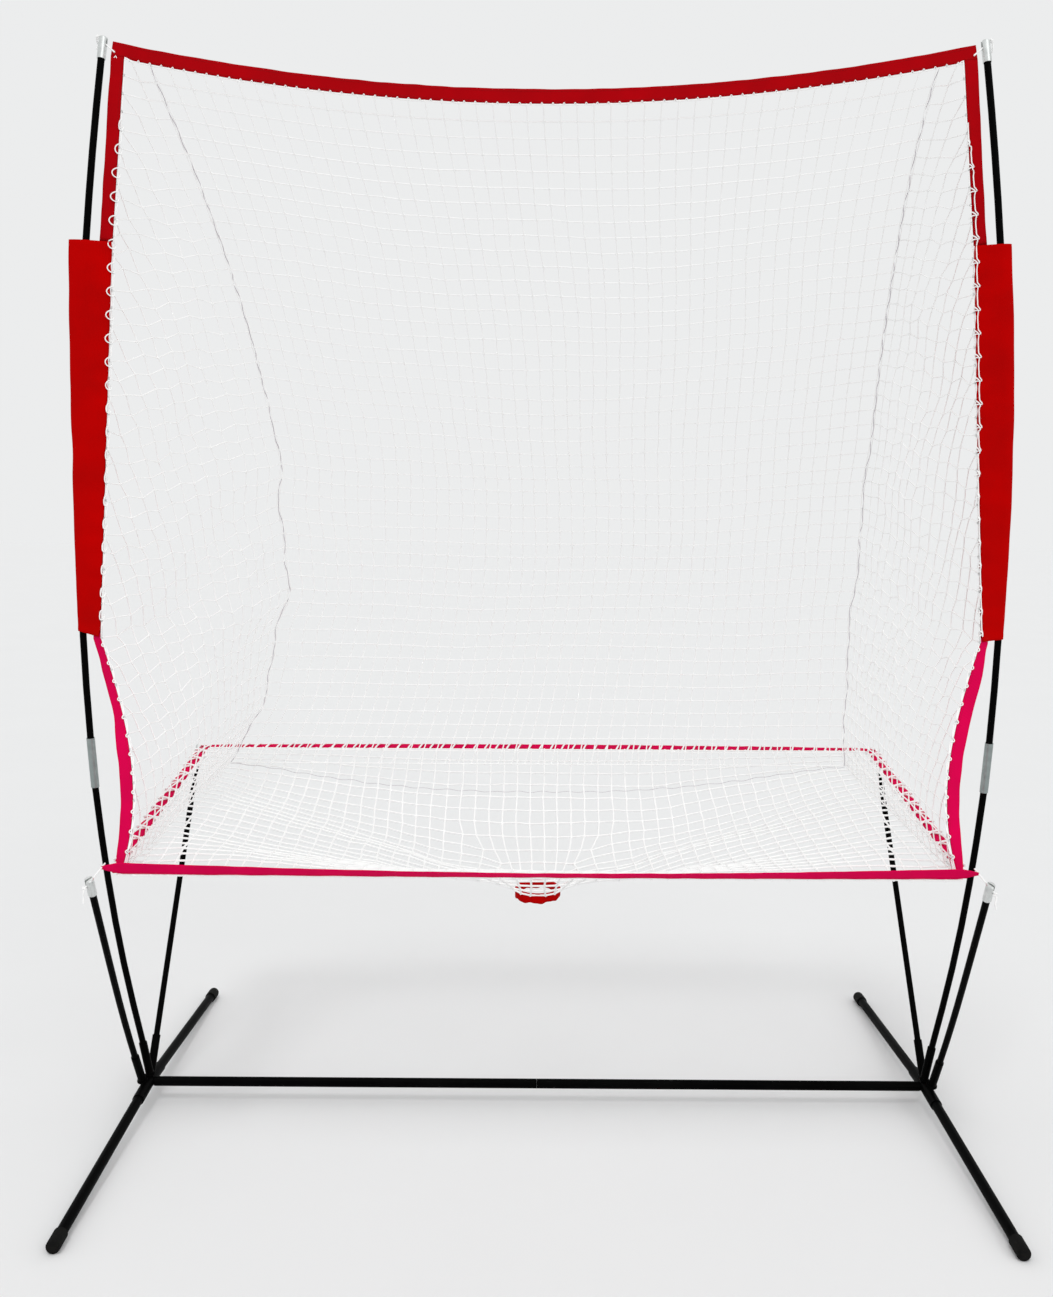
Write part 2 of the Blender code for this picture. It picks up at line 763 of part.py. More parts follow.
def make_poles():
    for label, side in SIDES:
        lower, upper = main_line(side)
        wire(f"main_pole_lower_{label}", lower, POLE_R, POLE_RINGS, BLACK_GLASS)
        wire(f"main_pole_upper_{label}", upper, POLE_R, POLE_RINGS, BLACK_GLASS)
        middle, run = ferrule_ends(side)
        tube(
            f"pole_ferrule_{label}", middle - run * FERRULE_LENGTH / 2,
            middle + run * FERRULE_LENGTH / 2, POLE_R + SLIP + FERRULE_WALL, POLE_R + SLIP,
            TUBE_FACETS, BRIGHT_METAL,
        )
        wire(f"front_pole_{label}", front_line(side)[0], POLE_R, POLE_RINGS, BLACK_GLASS)
        wire(f"rear_pole_{label}", rear_line(side)[0], POLE_R, POLE_RINGS, BLACK_GLASS)
        for pole, (end, axis) in tip_axes(side).items():
            corner = on_side(net_corners()[pole], side)
            make_tip(f"{pole}_pole_tip_{label}", end, axis, corner)


# Net

def top_stations():
    """Where the net's cords meet the top trim, from corner to corner."""
    back = [SEAM_TOP_X * (2 * column / BACK_COLUMNS - 1) for column in range(BACK_COLUMNS + 1)]
    pitch = (front_edge()[0].x - SEAM_TOP_X) / SIDE_COLUMNS
    right = [SEAM_TOP_X + pitch * column for column in range(1, SIDE_COLUMNS + 1)]
    right.append(TOP_CORNER.x)
    left = [-x for x in reversed(right)]
    return left + back + right


def net_corners():
    """Where the ties leave the net's corners, on the right side."""
    drop = Vector((0.0, 0.0, TOP_TRIM_WIDTH / 2))
    return {"main": TOP_CORNER - drop, "front": trim_end(TRAY_FRONT, -1), "rear": trim_end(TRAY_REAR, 1)}


def trim_end(corner, way):
    """The middle of the end of a tray trim that runs along X."""
    reach = Vector((EDGE_SEAT + WEB_WIDTH, 0.0, 0.0))
    return corner + reach + trim_lean(way) * (BAR / 2 + WEB_GAUGE / 2 + SEAT + WEB_WIDTH / 2)


def trim_lean(way):
    """The way from the net to a tray trim's outer edge: up, and to the front or the rear."""
    tilt = FRONT_TRIM_TILT if way < 0 else REAR_TRIM_TILT
    return Vector((0.0, way * math.cos(tilt), math.sin(tilt)))


def add_ties(trim, pole):
    for label, side in SIDES:
        end, axis = tip_axes(side)[pole]
        add_tie(trim, f"{pole}_tie_{label}", on_side(net_corners()[pole], side), end, axis)


def make_top_trim():
    stations = top_stations()
    head = [Vector((x, top_trim_back(x), top_trim_head(x))) for x in stations]
    foot = [Vector((x, top_trim_back(x), top_trim_foot(x))) for x in stations]
    trim = strip("top_trim", head, foot, WEB_GAUGE, RED_CLOTH)
    add_ties(trim, "main")


def outward_from(points, index):
    """The way square to the front edge, away from the net, at one of its points."""
    before = points[max(0, index - 1)]
    after = points[min(len(points) - 1, index + 1)]
    run = (after - before).normalized()
    return run.cross(Vector((0.0, 1.0, 0.0))).normalized()


def slid_to(point, run, height):
    """The point where a line through a point, along run, reaches a height."""
    return point + run * ((height - point.z) / run.z)


def make_side_trims():
    edge = front_edge()
    upper = range(0, ROWS_ABOVE_SLEEVE + 1)
    lower = range(ROWS_ABOVE_SLEEVE + ROWS_AT_SLEEVE, ROWS + 1)
    for label, side in SIDES:
        for name, rows, finish in (
            ("side_trim_upper", upper, RED_CLOTH),
            ("side_trim_lower", lower, ROSE_WEB),
        ):
            inner = [edge[row] + outward_from(edge, row) * EDGE_SEAT for row in rows]
            outer = [edge[row] + outward_from(edge, row) * (EDGE_SEAT + WEB_WIDTH) for row in rows]
            start_run = edge[rows[1]] - edge[rows[0]]
            end_run = edge[rows[-1]] - edge[rows[-2]]
            for line in (inner, outer):
                if name == "side_trim_upper":
                    head = top_trim_foot(line[0].x) - SEAT
                    foot = SLEEVE_TOP + SEAT
                else:
                    head = SLEEVE_FOOT - SEAT
                    foot = TRAY_FRONT.z + WEB_GAUGE + SEAT
                line[0] = slid_to(line[0], start_run, head)
                line[-1] = slid_to(line[-1], end_run, foot)
            inner = [on_side(point, side) for point in inner]
            outer = [on_side(point, side) for point in outer]
            strip(f"{name}_{label}", inner, outer, WEB_GAUGE, finish)


def sleeve_section(pole, edge, slack):
    """One closed loop of the sleeve: round the pole, then flat to the net's edge."""
    step_angle = 2 * SLEEVE_WRAP / SLEEVE_STEPS
    ring = (POLE_R + SLEEVE_EASE + SLEEVE_CLOTH / 2) / math.cos(step_angle / 2)
    inboard = edge - pole
    inboard.z = 0.0
    width = inboard.length - EDGE_SEAT - SLEEVE_CLOTH
    inboard.normalize()
    across = Vector((-inboard.y, inboard.x, 0.0))
    loop = []
    for step in range(SLEEVE_STEPS + 1):
        angle = step * step_angle - SLEEVE_WRAP
        loop.append(pole - inboard * (ring + slack) * math.cos(angle) + across * ring * math.sin(angle))
    shoulder = width * SLEEVE_SHOULDER
    belly = SLEEVE_FOLD / 2 + (ring - SLEEVE_FOLD / 2) * SLEEVE_SHOULDER
    for distance, height in ((shoulder, belly), (width, SLEEVE_FOLD / 2)):
        loop.append(pole + inboard * distance + across * height)
    for distance, height in ((width, SLEEVE_FOLD / 2), (shoulder, belly)):
        loop.append(pole + inboard * distance - across * height)
    return loop


def make_sleeves():
    edge = front_edge()
    heights = edge_heights()[1]
    for label, side in SIDES:
        ends = main_bow(side)
        bm = bmesh.new()
        previous = None
        for index, height in enumerate(heights):
            share = 1.0 - index / ROWS_AT_SLEEVE
            pole = bow_at_height(ends, height)
            inner = on_side(edge[ROWS_ABOVE_SLEEVE + index], side)
            section = sleeve_section(pole, inner, SLEEVE_SLACK * share)
            corners = [bm.verts.new(point) for point in section]
            loop = [bm.edges.new((corners[i - 1], corners[i])) for i in range(len(corners))]
            if previous:
                bmesh.ops.bridge_loops(bm, edges=previous + loop)
            previous = loop
        bmesh.ops.recalc_face_normals(bm, faces=bm.faces)
        thickened(f"pole_sleeve_{label}", bm, SLEEVE_CLOTH, RED_CLOTH)


def make_tray_trims():
    """Webbing round the tray: its inner edge lies against the net's outer cords."""
    for name, pole, corner, way in (
        ("tray_trim_front", "front", TRAY_FRONT, -1),
        ("tray_trim_rear", "rear", TRAY_REAR, 1),
    ):
        end = trim_end(corner, way)
        shoulder = end - Vector((TRIM_TAPER, 0.0, 0.0))
        rails = []
        for edge in (-1, 1):
            across = trim_lean(way) * edge / 2
            wide = shoulder + across * WEB_WIDTH
            point = end + across * TRIM_POINT
            rails.append([on_side(point, -1), on_side(wide, -1), wide, point])
        trim = strip(name, *rails, WEB_GAUGE, ROSE_WEB)
        add_ties(trim, pole)
    reach = Vector((WEB_WIDTH, 0.0, 0.0))
    gap = Vector((EDGE_SEAT + WEB_GAUGE / 4, 0.0, 0.0))
    for label, side in SIDES:
        inner = [TRAY_FRONT + gap, TRAY_REAR + gap]
        outer = [point + reach for point in inner]
        strip(
            f"tray_trim_side_{label}", [on_side(point, side) for point in inner],
            [on_side(point, side) for point in outer], WEB_GAUGE, ROSE_WEB,
        )


def make_net_sides():
    edge = front_edge()

    def place(side, column, row):
        share = column / SIDE_COLUMNS
        row = ROWS - row
        rear = seam(row) + Vector((SEAM_GAP, 0.0, 0.0))
        point = edge[row].lerp(rear, share)
        if row == 0:
            point.y = top_trim_back(point.x)
            point.z = top_trim_foot(point.x) - EDGE_SEAT
        elif row < ROWS:
            point.y += SIDE_FULLNESS * 4 * share * (1.0 - share)
        return on_side(point, side)

    for label, side in SIDES:
        netting(
            f"net_side_{label}", SIDE_COLUMNS, ROWS,
            lambda column, row, side=side: place(side, column, row),
        )


def make_net_back():
    def place(column, row):
        row = ROWS - row
        across = 2 * column / BACK_COLUMNS - 1
        edge = seam(row)
        reach = edge.x - SEAM_GAP
        share = row / ROWS
        middle = 1.0 - across ** 2
        point = Vector((across * reach, edge.y, edge.z))
        point.y += BACK_FULLNESS * math.sin(math.pi * share) * middle
        point.y += (top_trim_back(0.0) - top_trim_back(SEAM_TOP_X)) * (1.0 - share) * middle
        point.z -= (top_trim_foot(SEAM_TOP_X) - top_trim_foot(0.0)) * (1.0 - share) * middle
        if row == 0:
            point.y = top_trim_back(point.x)
            point.z = top_trim_foot(point.x) - EDGE_SEAT
        if row == ROWS:
            point.z = tray_height(point.x, point.y) + FOOT_GAP
        return point

    netting("net_back", BACK_COLUMNS, ROWS, place)


def make_net_tray():
    middle_column = TRAY_COLUMNS // 2
    middle_row = TRAY_ROWS // 2
    grip = COLLAR_D / 2 + EDGE_SEAT

    def place(column, row):
        y = tray_row_y(row)
        x = tray_half_width(y) * (2 * column / TRAY_COLUMNS - 1)
        at_ring = column in (middle_column, middle_column + 1) and row in (middle_row, middle_row + 1)
        if at_ring:
            x = math.copysign(grip, x)
            y = ring_centre().y + math.copysign(grip, y - ring_centre().y)
            return Vector((x, y, COLLAR_TOP - 2 * BAR))
        return Vector((x, y, tray_height(x, y)))

    netting("net_tray", TRAY_COLUMNS, TRAY_ROWS, place)


def make_outlet():
    """The ring that the balls drop through: a hemmed collar on a round hoop."""
    outer = COLLAR_D / 2
    inner = outer - COLLAR_WALL
    hem = COLLAR_WALL
    profile = [
        (outer, 0.0),
        (outer, -hem),
        (outer - COLLAR_WALL / 4, -hem * 1.5),
        (outer - COLLAR_WALL / 4, -COLLAR_HEIGHT + hem * 1.5),
        (outer, -COLLAR_HEIGHT + hem),
        (outer, -COLLAR_HEIGHT),
        (inner, -COLLAR_HEIGHT),
        (inner, 0.0),
    ]
    place = Matrix.Translation(ring_centre())
    turned("outlet_collar", profile, True, place, RING_FACETS, RED_CLOTH)
    hoop_r = inner * math.cos(math.pi / RING_FACETS) - HOOP_D / 2 - SEAT
    ring = arc(hoop_r, -HOOP_D, HOOP_D / 2, 90, -210, 5)
    turned("outlet_hoop", ring, True, place, RING_FACETS, WHITE_CORD)


def main():
    clear_scene()
    make_base()
    make_poles()
    make_top_trim()
    make_side_trims()
    make_sleeves()
    make_tray_trims()
    make_net_sides()
    make_net_back()
    make_net_tray()
    make_outlet()


main()
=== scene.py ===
# %% [markdown]
# # A tennis ball catch net
# Six black poles stand in a steel base and hold a pocket of white netting. The balls drop on to
# a netting tray and leave it through a small red ring. This file dresses the working model in
# its real finishes: the netting, the red cloth, the lacing, the paint and the metal. It starts
# by loading that model, because every new piece is placed by it.

# %% Load the working model
import bisect
import json
import math

import bmesh
import bpy
from mathutils import Matrix, Vector, noise


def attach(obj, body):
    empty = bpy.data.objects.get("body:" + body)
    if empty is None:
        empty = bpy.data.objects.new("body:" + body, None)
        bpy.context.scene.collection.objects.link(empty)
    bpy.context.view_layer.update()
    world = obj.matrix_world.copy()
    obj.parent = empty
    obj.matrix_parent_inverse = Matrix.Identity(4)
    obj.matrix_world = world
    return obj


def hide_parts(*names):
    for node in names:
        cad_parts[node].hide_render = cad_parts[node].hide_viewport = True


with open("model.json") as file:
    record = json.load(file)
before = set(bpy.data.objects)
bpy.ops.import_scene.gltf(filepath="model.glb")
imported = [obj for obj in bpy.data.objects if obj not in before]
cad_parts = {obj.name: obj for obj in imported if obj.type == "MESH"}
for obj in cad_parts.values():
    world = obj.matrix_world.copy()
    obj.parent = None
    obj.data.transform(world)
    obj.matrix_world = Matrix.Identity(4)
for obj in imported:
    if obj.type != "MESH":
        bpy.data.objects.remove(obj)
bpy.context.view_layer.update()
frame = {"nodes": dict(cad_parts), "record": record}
cad_nodes = frame["nodes"]
print("nodes in the working model:", len(cad_nodes))

# %% [markdown]
# ## Camera
# The player's own view: eye height, a little under three metres back, turned slightly down.
# A lens can be given in millimetres or worked out from the picture. Here the focal length in
# pixels is turned into millimetres with the picture's longer side.

# %% Camera
PHOTO_HEIGHT = 1297
FOCAL_PIXELS = 1270.0
SENSOR = 36.0
CAMERA_PLACE = Vector((-0.019, -2.800, 1.411))
CAMERA_DOWN = math.radians(7.10)
CAMERA_TURN = math.radians(-0.20)
CAMERA_ROLL = math.radians(0.3)


def add_object(name, data):
    made = bpy.data.objects.new(name, data)
    bpy.context.scene.collection.objects.link(made)
    return made


lens = bpy.data.cameras.new("camera")
lens.sensor_width = SENSOR
lens.lens = FOCAL_PIXELS * SENSOR / PHOTO_HEIGHT
camera = add_object("camera", lens)
camera.matrix_world = (
    Matrix.Translation(CAMERA_PLACE)
    @ Matrix.Rotation(-CAMERA_TURN, 4, "Z")
    @ Matrix.Rotation(math.pi / 2 - CAMERA_DOWN, 4, "X")
    @ Matrix.Rotation(CAMERA_ROLL, 4, "Z")
)
bpy.context.scene.camera = camera
bpy.context.scene.view_settings.view_transform = "Standard"
print("focal length:", round(lens.lens, 2), "mm")

# %% [markdown]
# ## Studio
# White netting only shows against something a little darker, so the room is a pale grey, and
# no lamp is strong enough to bleach the twine. The room's colour is only what the camera, a
# mirror or a window sees. The light itself comes from an even white sky and two soft suns,
# which keep the same strength from corner to corner, as a large lamp close by would not.

# %% Studio
PALE = (0.838, 0.845, 0.848, 1.0)
SKY_LEVEL = 0.79
KEY_LEVEL = 0.20
FILL_LEVEL = 0.15
FLOOR_SIZE = 60.0
LAMPS = (
    ("key", KEY_LEVEL, (24, -16), 14),
    ("fill", FILL_LEVEL, (62, 30), 40),
)


def build_sky():
    world = bpy.data.worlds.new("studio")
    world.use_nodes = True
    tree = world.node_tree
    sky = tree.nodes["Background"]
    sky.inputs["Color"].default_value = (1.0, 1.0, 1.0, 1.0)
    sky.inputs["Strength"].default_value = SKY_LEVEL
    room = tree.nodes.new("ShaderNodeBackground")
    room.inputs["Color"].default_value = PALE
    path = tree.nodes.new("ShaderNodeLightPath")
    seen = path.outputs["Is Camera Ray"]
    for other in ("Is Glossy Ray", "Is Transmission Ray"):
        either = tree.nodes.new("ShaderNodeMath")
        either.operation = "MAXIMUM"
        tree.links.new(seen, either.inputs[0])
        tree.links.new(path.outputs[other], either.inputs[1])
        seen = either.outputs[0]
    choose = tree.nodes.new("ShaderNodeMixShader")
    tree.links.new(seen, choose.inputs[0])
    tree.links.new(sky.outputs[0], choose.inputs[1])
    tree.links.new(room.outputs[0], choose.inputs[2])
    tree.links.new(choose.outputs[0], tree.nodes["World Output"].inputs[0])
    bpy.context.scene.world = world


def add_sun(name, level, tilt, spread):
    """A soft sun; the tilt is its lean from overhead towards the camera, then to the right."""
    sun = bpy.data.lights.new(name, "SUN")
    sun.energy = math.pi * level
    sun.angle = math.radians(spread)
    lamp = add_object(name, sun)
    lean = Matrix.Rotation(math.radians(tilt[0]), 4, "X")
    lamp.matrix_world = Matrix.Rotation(math.radians(tilt[1]), 4, "Z") @ lean


build_sky()
for lamp_name, level, tilt, spread in LAMPS:
    add_sun(lamp_name, level, tilt, spread)

floor_shape = bmesh.new()
bmesh.ops.create_grid(floor_shape, x_segments=1, y_segments=1, size=FLOOR_SIZE / 2)
floor_mesh = bpy.data.meshes.new("floor")
floor_shape.to_mesh(floor_mesh)
floor_shape.free()
floor = add_object("floor", floor_mesh)
print("lamps:", [lamp[0] for lamp in LAMPS])

# %% [markdown]
# ## A kit for finishes
# Every finish below starts as one Principled shader. A pattern needs three things: the place it
# is measured in, a texture, and what the texture changes. Patterns on rigid pieces use Object
# coordinates. Patterns on cloth use a UV map in metres, so that the weave bends with it.

# %% A kit for finishes
def new_finish(name, colour, roughness, metallic=0.0, gloss=0.5):
    made = bpy.data.materials.new(name)
    made.use_nodes = True
    shader = made.node_tree.nodes["Principled BSDF"]
    shader.inputs["Base Color"].default_value = (*colour, 1.0)
    shader.inputs["Roughness"].default_value = roughness
    shader.inputs["Metallic"].default_value = metallic
    shader.inputs["Specular IOR Level"].default_value = gloss
    return made, made.node_tree, shader


def place_of(tree, source, scale):
    """Coordinates in one space, stretched by a scale along each axis."""
    where = tree.nodes.new("ShaderNodeTexCoord")
    stretch = tree.nodes.new("ShaderNodeMapping")
    stretch.inputs["Scale"].default_value = scale
    tree.links.new(where.outputs[source], stretch.inputs["Vector"])
    return stretch.outputs["Vector"]


def grain(tree, place, scale, detail=3.0):
    cloud = tree.nodes.new("ShaderNodeTexNoise")
    cloud.inputs["Scale"].default_value = scale
    cloud.inputs["Detail"].default_value = detail
    tree.links.new(place, cloud.inputs["Vector"])
    return cloud.outputs["Fac"]


def ridges(tree, place, period, direction):
    """Straight ridges; a wave texture repeats every pi / 10 units at a scale of one."""
    wave = tree.nodes.new("ShaderNodeTexWave")
    wave.bands_direction = direction
    wave.inputs["Scale"].default_value = math.pi / 10 / period
    tree.links.new(place, wave.inputs["Vector"])
    return wave.outputs["Fac"]


def calculate(tree, operation, first, second):
    step = tree.nodes.new("ShaderNodeMath")
    step.operation = operation
    for socket, value in zip(step.inputs, (first, second)):
        if isinstance(value, float):
            socket.default_value = value
        else:
            tree.links.new(value, socket)
    return step.outputs[0]


def ramp(tree, amount, low, high, start=0.3, end=0.7):
    """A colour for each amount, from low to high."""
    stops = tree.nodes.new("ShaderNodeValToRGB")
    stops.color_ramp.elements[0].position = start
    stops.color_ramp.elements[1].position = end
    stops.color_ramp.elements[0].color = (*low, 1.0)
    stops.color_ramp.elements[1].color = (*high, 1.0)
    tree.links.new(amount, stops.inputs["Fac"])
    return stops.outputs["Color"]


def spread_of(tree, amount, low, high):
    """A number for each amount, from low to high."""
    fit = tree.nodes.new("ShaderNodeMapRange")
    fit.inputs["From Min"].default_value = 0.3
    fit.inputs["From Max"].default_value = 0.7
    fit.inputs["To Min"].default_value = low
    fit.inputs["To Max"].default_value = high
    tree.links.new(amount, fit.inputs["Value"])
    return fit.outputs["Result"]


def raised(tree, shader, height, strength, depth):
    bump = tree.nodes.new("ShaderNodeBump")
    bump.inputs["Strength"].default_value = strength
    bump.inputs["Distance"].default_value = depth
    tree.links.new(height, bump.inputs["Height"])
    tree.links.new(bump.outputs["Normal"], shader.inputs["Normal"])


def shade(colour, factor):
    return tuple(part * factor for part in colour)


def wire(tree, output, shader, socket):
    tree.links.new(output, shader.inputs[socket])


# %% [markdown]
# ## Hard finishes
# The base is steel with a baked powder coat, which is never quite smooth: it has a fine orange
# peel. The poles are fibreglass rods, drawn through a die, so their streaks run lengthwise.
# The tips are bright metal turned on a lathe, and the ferrules a duller one. Near-black surfaces show their
# shape by gloss alone, so their roughness varies more than their colour.

# %% Hard finishes
def powder_coat():
    made, tree, shader = new_finish("powder_coat", (0.001, 0.001, 0.001), 0.42, gloss=0.015)
    fine = grain(tree, place_of(tree, "Object", (1, 1, 1)), 900.0)
    broad = grain(tree, place_of(tree, "Object", (1, 1, 1)), 11.0)
    wire(tree, ramp(tree, broad, (0.0005, 0.0005, 0.0005), (0.002, 0.002, 0.002)), shader, "Base Color")
    wire(tree, spread_of(tree, broad, 0.34, 0.50), shader, "Roughness")
    raised(tree, shader, fine, 0.25, 0.0003)
    return made


def drawn_fibreglass():
    made, tree, shader = new_finish("drawn_fibreglass", (0.001, 0.001, 0.001), 0.4, gloss=0.015)
    streak = grain(tree, place_of(tree, "Object", (1, 1, 0.02)), 1100.0)
    scuff = grain(tree, place_of(tree, "Object", (1, 1, 0.5)), 40.0)
    wire(tree, ramp(tree, streak, (0.0005, 0.0005, 0.0005), (0.002, 0.002, 0.002)), shader, "Base Color")
    wire(tree, spread_of(tree, scuff, 0.30, 0.52), shader, "Roughness")
    raised(tree, shader, streak, 0.2, 0.0002)
    return made


def turned_metal(name, colour, low, high):
    made, tree, shader = new_finish(name, colour, low, 1.0)
    rings = grain(tree, place_of(tree, "Object", (0.06, 0.06, 1)), 2600.0)
    smear = grain(tree, place_of(tree, "Object", (1, 1, 1)), 60.0)
    wire(tree, ramp(tree, smear, shade(colour, 0.86), shade(colour, 1.12)), shader, "Base Color")
    wire(tree, spread_of(tree, smear, low, high), shader, "Roughness")
    raised(tree, shader, rings, 0.15, 0.0001)
    return made


def moulded_rubber():
    made, tree, shader = new_finish("moulded_rubber", (0.005, 0.005, 0.005), 0.8, gloss=0.08)
    pores = grain(tree, place_of(tree, "Object", (1, 1, 1)), 1500.0)
    dust = grain(tree, place_of(tree, "Object", (1, 1, 2)), 70.0)
    wire(tree, ramp(tree, dust, (0.003, 0.003, 0.003), (0.009, 0.009, 0.008)), shader, "Base Color")
    wire(tree, spread_of(tree, dust, 0.70, 0.92), shader, "Roughness")
    raised(tree, shader, pores, 0.4, 0.0004)
    return made


# %% [markdown]
# ## Soft finishes
# The netting and the lacing are twisted white yarn. Slanting ridges stand for the twist, and a
# fine grain for the fuzz. The red cloth is a plain weave: warp and weft cross at right angles.
# The narrow tape round the tray is a twill, whose ridges run on a slant. Cloth also fades and
# soils in soft patches, which keeps a large red area from looking like plastic.

# %% Soft finishes
def twisted_yarn(name, colour, period, fuzziness=0.0):
    made, tree, shader = new_finish(name, colour, 0.85, gloss=0.2)
    shader.inputs["Sheen Weight"].default_value = fuzziness
    shader.inputs["Sheen Roughness"].default_value = 0.45
    place = place_of(tree, "Object", (1, 1, 1))
    twist = ridges(tree, place, period, "DIAGONAL")
    fuzz = grain(tree, place, 2200.0)
    soil = grain(tree, place, 45.0)
    wire(tree, ramp(tree, soil, shade(colour, 0.97), colour), shader, "Base Color")
    raised(tree, shader, calculate(tree, "ADD", twist, fuzz), 0.12, 0.0002)
    return made


def woven_cloth(name, colour, yarn, slanted=False):
    """Cloth whose UV map is in metres; yarn is the width of two of its threads."""
    made, tree, shader = new_finish(name, colour, 0.82, gloss=0.03)
    flat = place_of(tree, "UV", (1, 1, 1))
    if slanted:
        weave = ridges(tree, flat, yarn, "DIAGONAL")
    else:
        warp = ridges(tree, flat, yarn, "X")
        weft = ridges(tree, flat, yarn, "Y")
        weave = calculate(tree, "MULTIPLY", warp, weft)
    slub = grain(tree, place_of(tree, "UV", (260, 2200, 1)), 1.0)
    patch = grain(tree, place_of(tree, "Object", (1, 1, 1)), 14.0)
    tone = calculate(tree, "ADD", calculate(tree, "MULTIPLY", weave, 0.35),
                     calculate(tree, "MULTIPLY", patch, 0.65))
    wire(tree, ramp(tree, tone, shade(colour, 0.80), shade(colour, 1.10), 0.25, 0.75),
         shader, "Base Color")
    raised(tree, shader, calculate(tree, "ADD", weave, slub), 0.3, 0.0004)
    wire(tree, spread_of(tree, patch, 0.76, 0.90), shader, "Roughness")
    return made


RED = (0.495, 0.000, 0.000)
BINDING_RED = (0.440, 0.001, 0.004)
ROSE = (0.700, 0.001, 0.074)
WHITE_YARN = (0.970, 0.970, 0.965)
SEAM_GREY = (0.520, 0.480, 0.520)

POWDER = powder_coat()
FIBREGLASS = drawn_fibreglass()
BRIGHT = turned_metal("bright_metal_turned", (0.68, 0.70, 0.69), 0.34, 0.50)
DULL = turned_metal("dull_metal_turned", (0.30, 0.34, 0.335), 0.30, 0.46)
SPRING = turned_metal("spring_steel_strip", (0.42, 0.43, 0.45), 0.30, 0.45)
RUBBER = moulded_rubber()
TWINE = twisted_yarn("net_twine", WHITE_YARN, 0.0022, 0.6)
CORD = twisted_yarn("lacing_cord", WHITE_YARN, 0.0030, 0.6)
SEAM_THREAD = twisted_yarn("seam_thread", SEAM_GREY, 0.0012)
SLEEVE_RED = woven_cloth("sleeve_cloth", RED, 0.0016)
BINDING = woven_cloth("binding_cloth", BINDING_RED, 0.0014)
ROSE_TAPE = woven_cloth("rose_tape", ROSE, 0.0018, slanted=True)
RED_THREAD = twisted_yarn("red_thread", shade(BINDING_RED, 0.72), 0.0009)
ROSE_THREAD = twisted_yarn("rose_thread", shade(ROSE, 0.74), 0.0009)
FLOOR_TONE = shade(PALE[:3], 0.955)
FLOOR_PAPER, floor_tree, floor_shader = new_finish("floor_paper", FLOOR_TONE, 0.9, gloss=0.1)
wire(floor_tree, ramp(floor_tree, grain(floor_tree, place_of(floor_tree, "Object", (1, 1, 1)), 2.0),
                      shade(FLOOR_TONE, 0.995), shade(FLOOR_TONE, 1.005)), floor_shader, "Base Color")
floor_mesh.materials.append(FLOOR_PAPER)
print("finishes:", len(bpy.data.materials))

# %% [markdown]
# ## Dress the rigid parts
# The base, the poles and their fittings keep their own shapes, which already have the real
# sizes. Their meshes are loose triangles, so a Weld joins the corners and an Edge Split keeps
# the sharp edges sharp, while the rest is shaded smooth.

# %% Dress the rigid parts
FINISH_OF_SLOT = {
    "black_steel": POWDER,
    "black_fibreglass": FIBREGLASS,
    "bright_metal": BRIGHT,
    "spring_steel": SPRING,
    "black_rubber": RUBBER,
}
SHARP_ANGLE = math.radians(38)


def smooth_rigid(part):
    for face in part.data.polygons:
        face.use_smooth = True
    weld = part.modifiers.new("join_corners", "WELD")
    weld.merge_threshold = 0.00001
    split = part.modifiers.new("keep_edges", "EDGE_SPLIT")
    split.split_angle = SHARP_ANGLE


for entry in frame["record"]["subparts"]:
    slot_name = entry["material_slot"]
    if slot_name in FINISH_OF_SLOT:
        rigid = cad_nodes[entry["node"]]
        finish = DULL if "ferrule" in entry["node"] else FINISH_OF_SLOT[slot_name]
        for slot in rigid.material_slots:
            slot.material = finish
        smooth_rigid(rigid)
print("rigid nodes dressed")

# %% [markdown]
# ## The lines that shape the net
# All the soft parts hang on a few lines: the sagging top edge, the front edge that follows the
# pole and is then pulled in to the tray, and the seam where a side panel meets the back. They
# are written once, as functions, and the net, the tapes and the lacing all call them.

# %% The lines that shape the net
SIDES = (("left", -1), ("right", 1))
TOP_CORNER = Vector((0.866, -0.135, 2.297))
TOP_SAG = 0.082
TOP_BACK = 0.020
TOP_WIDTH = 0.028
TAPE_WIDTH = 0.026
SLEEVE_TOP = 1.905
SLEEVE_FOOT = 1.105
SLEEVE_TOP_EDGE = Vector((0.868, -0.152, SLEEVE_TOP))
SLEEVE_FOOT_EDGE = Vector((0.909, -0.190, SLEEVE_FOOT))
PULL_UPPER = Vector((0.836, -0.235, 0.910))
PULL_LOWER = Vector((0.786, -0.330, 0.800))
TRAY_FRONT = Vector((0.832, -0.376, 0.655))
TRAY_REAR = Vector((0.860, 0.468, 0.737))
SEAM_TOP_X = 0.790
SEAM_UPPER = Vector((0.690, 0.120, 1.850))
SEAM_LOWER = Vector((0.650, 0.440, 1.100))
SEAM_FOOT_IN = 0.081
EDGE_SEAT = 0.0023
EDGE_FOOT_IN = 0.010
FOOT_GAP = 0.0062
BACK_FOOT_SHARE = 6 / 7
STRAIGHT_SHARE = 2 / 3
KNEE = 0.375


def on_side(point, side):
    return Vector((side * point.x, point.y, point.z))


def bezier(ends, t):
    start, first, second, end = ends
    rest = 1.0 - t
    return (start * rest ** 3 + first * 3 * rest ** 2 * t
            + second * 3 * rest * t ** 2 + end * t ** 3)


def through(values, u):
    """A smooth value along u, from 0 to 1, through three given ones."""
    start, middle, end = values
    return start * (1 - u) * (1 - 2 * u) + middle * 4 * u * (1 - u) + end * u * (2 * u - 1)


def top_head(x):
    return TOP_CORNER.z - TOP_SAG * (1.0 - (x / TOP_CORNER.x) ** 2)


def top_foot(x):
    return top_head(x) - TOP_WIDTH


def top_back(x):
    return TOP_CORNER.y + TOP_BACK * (1.0 - (x / TOP_CORNER.x) ** 2)


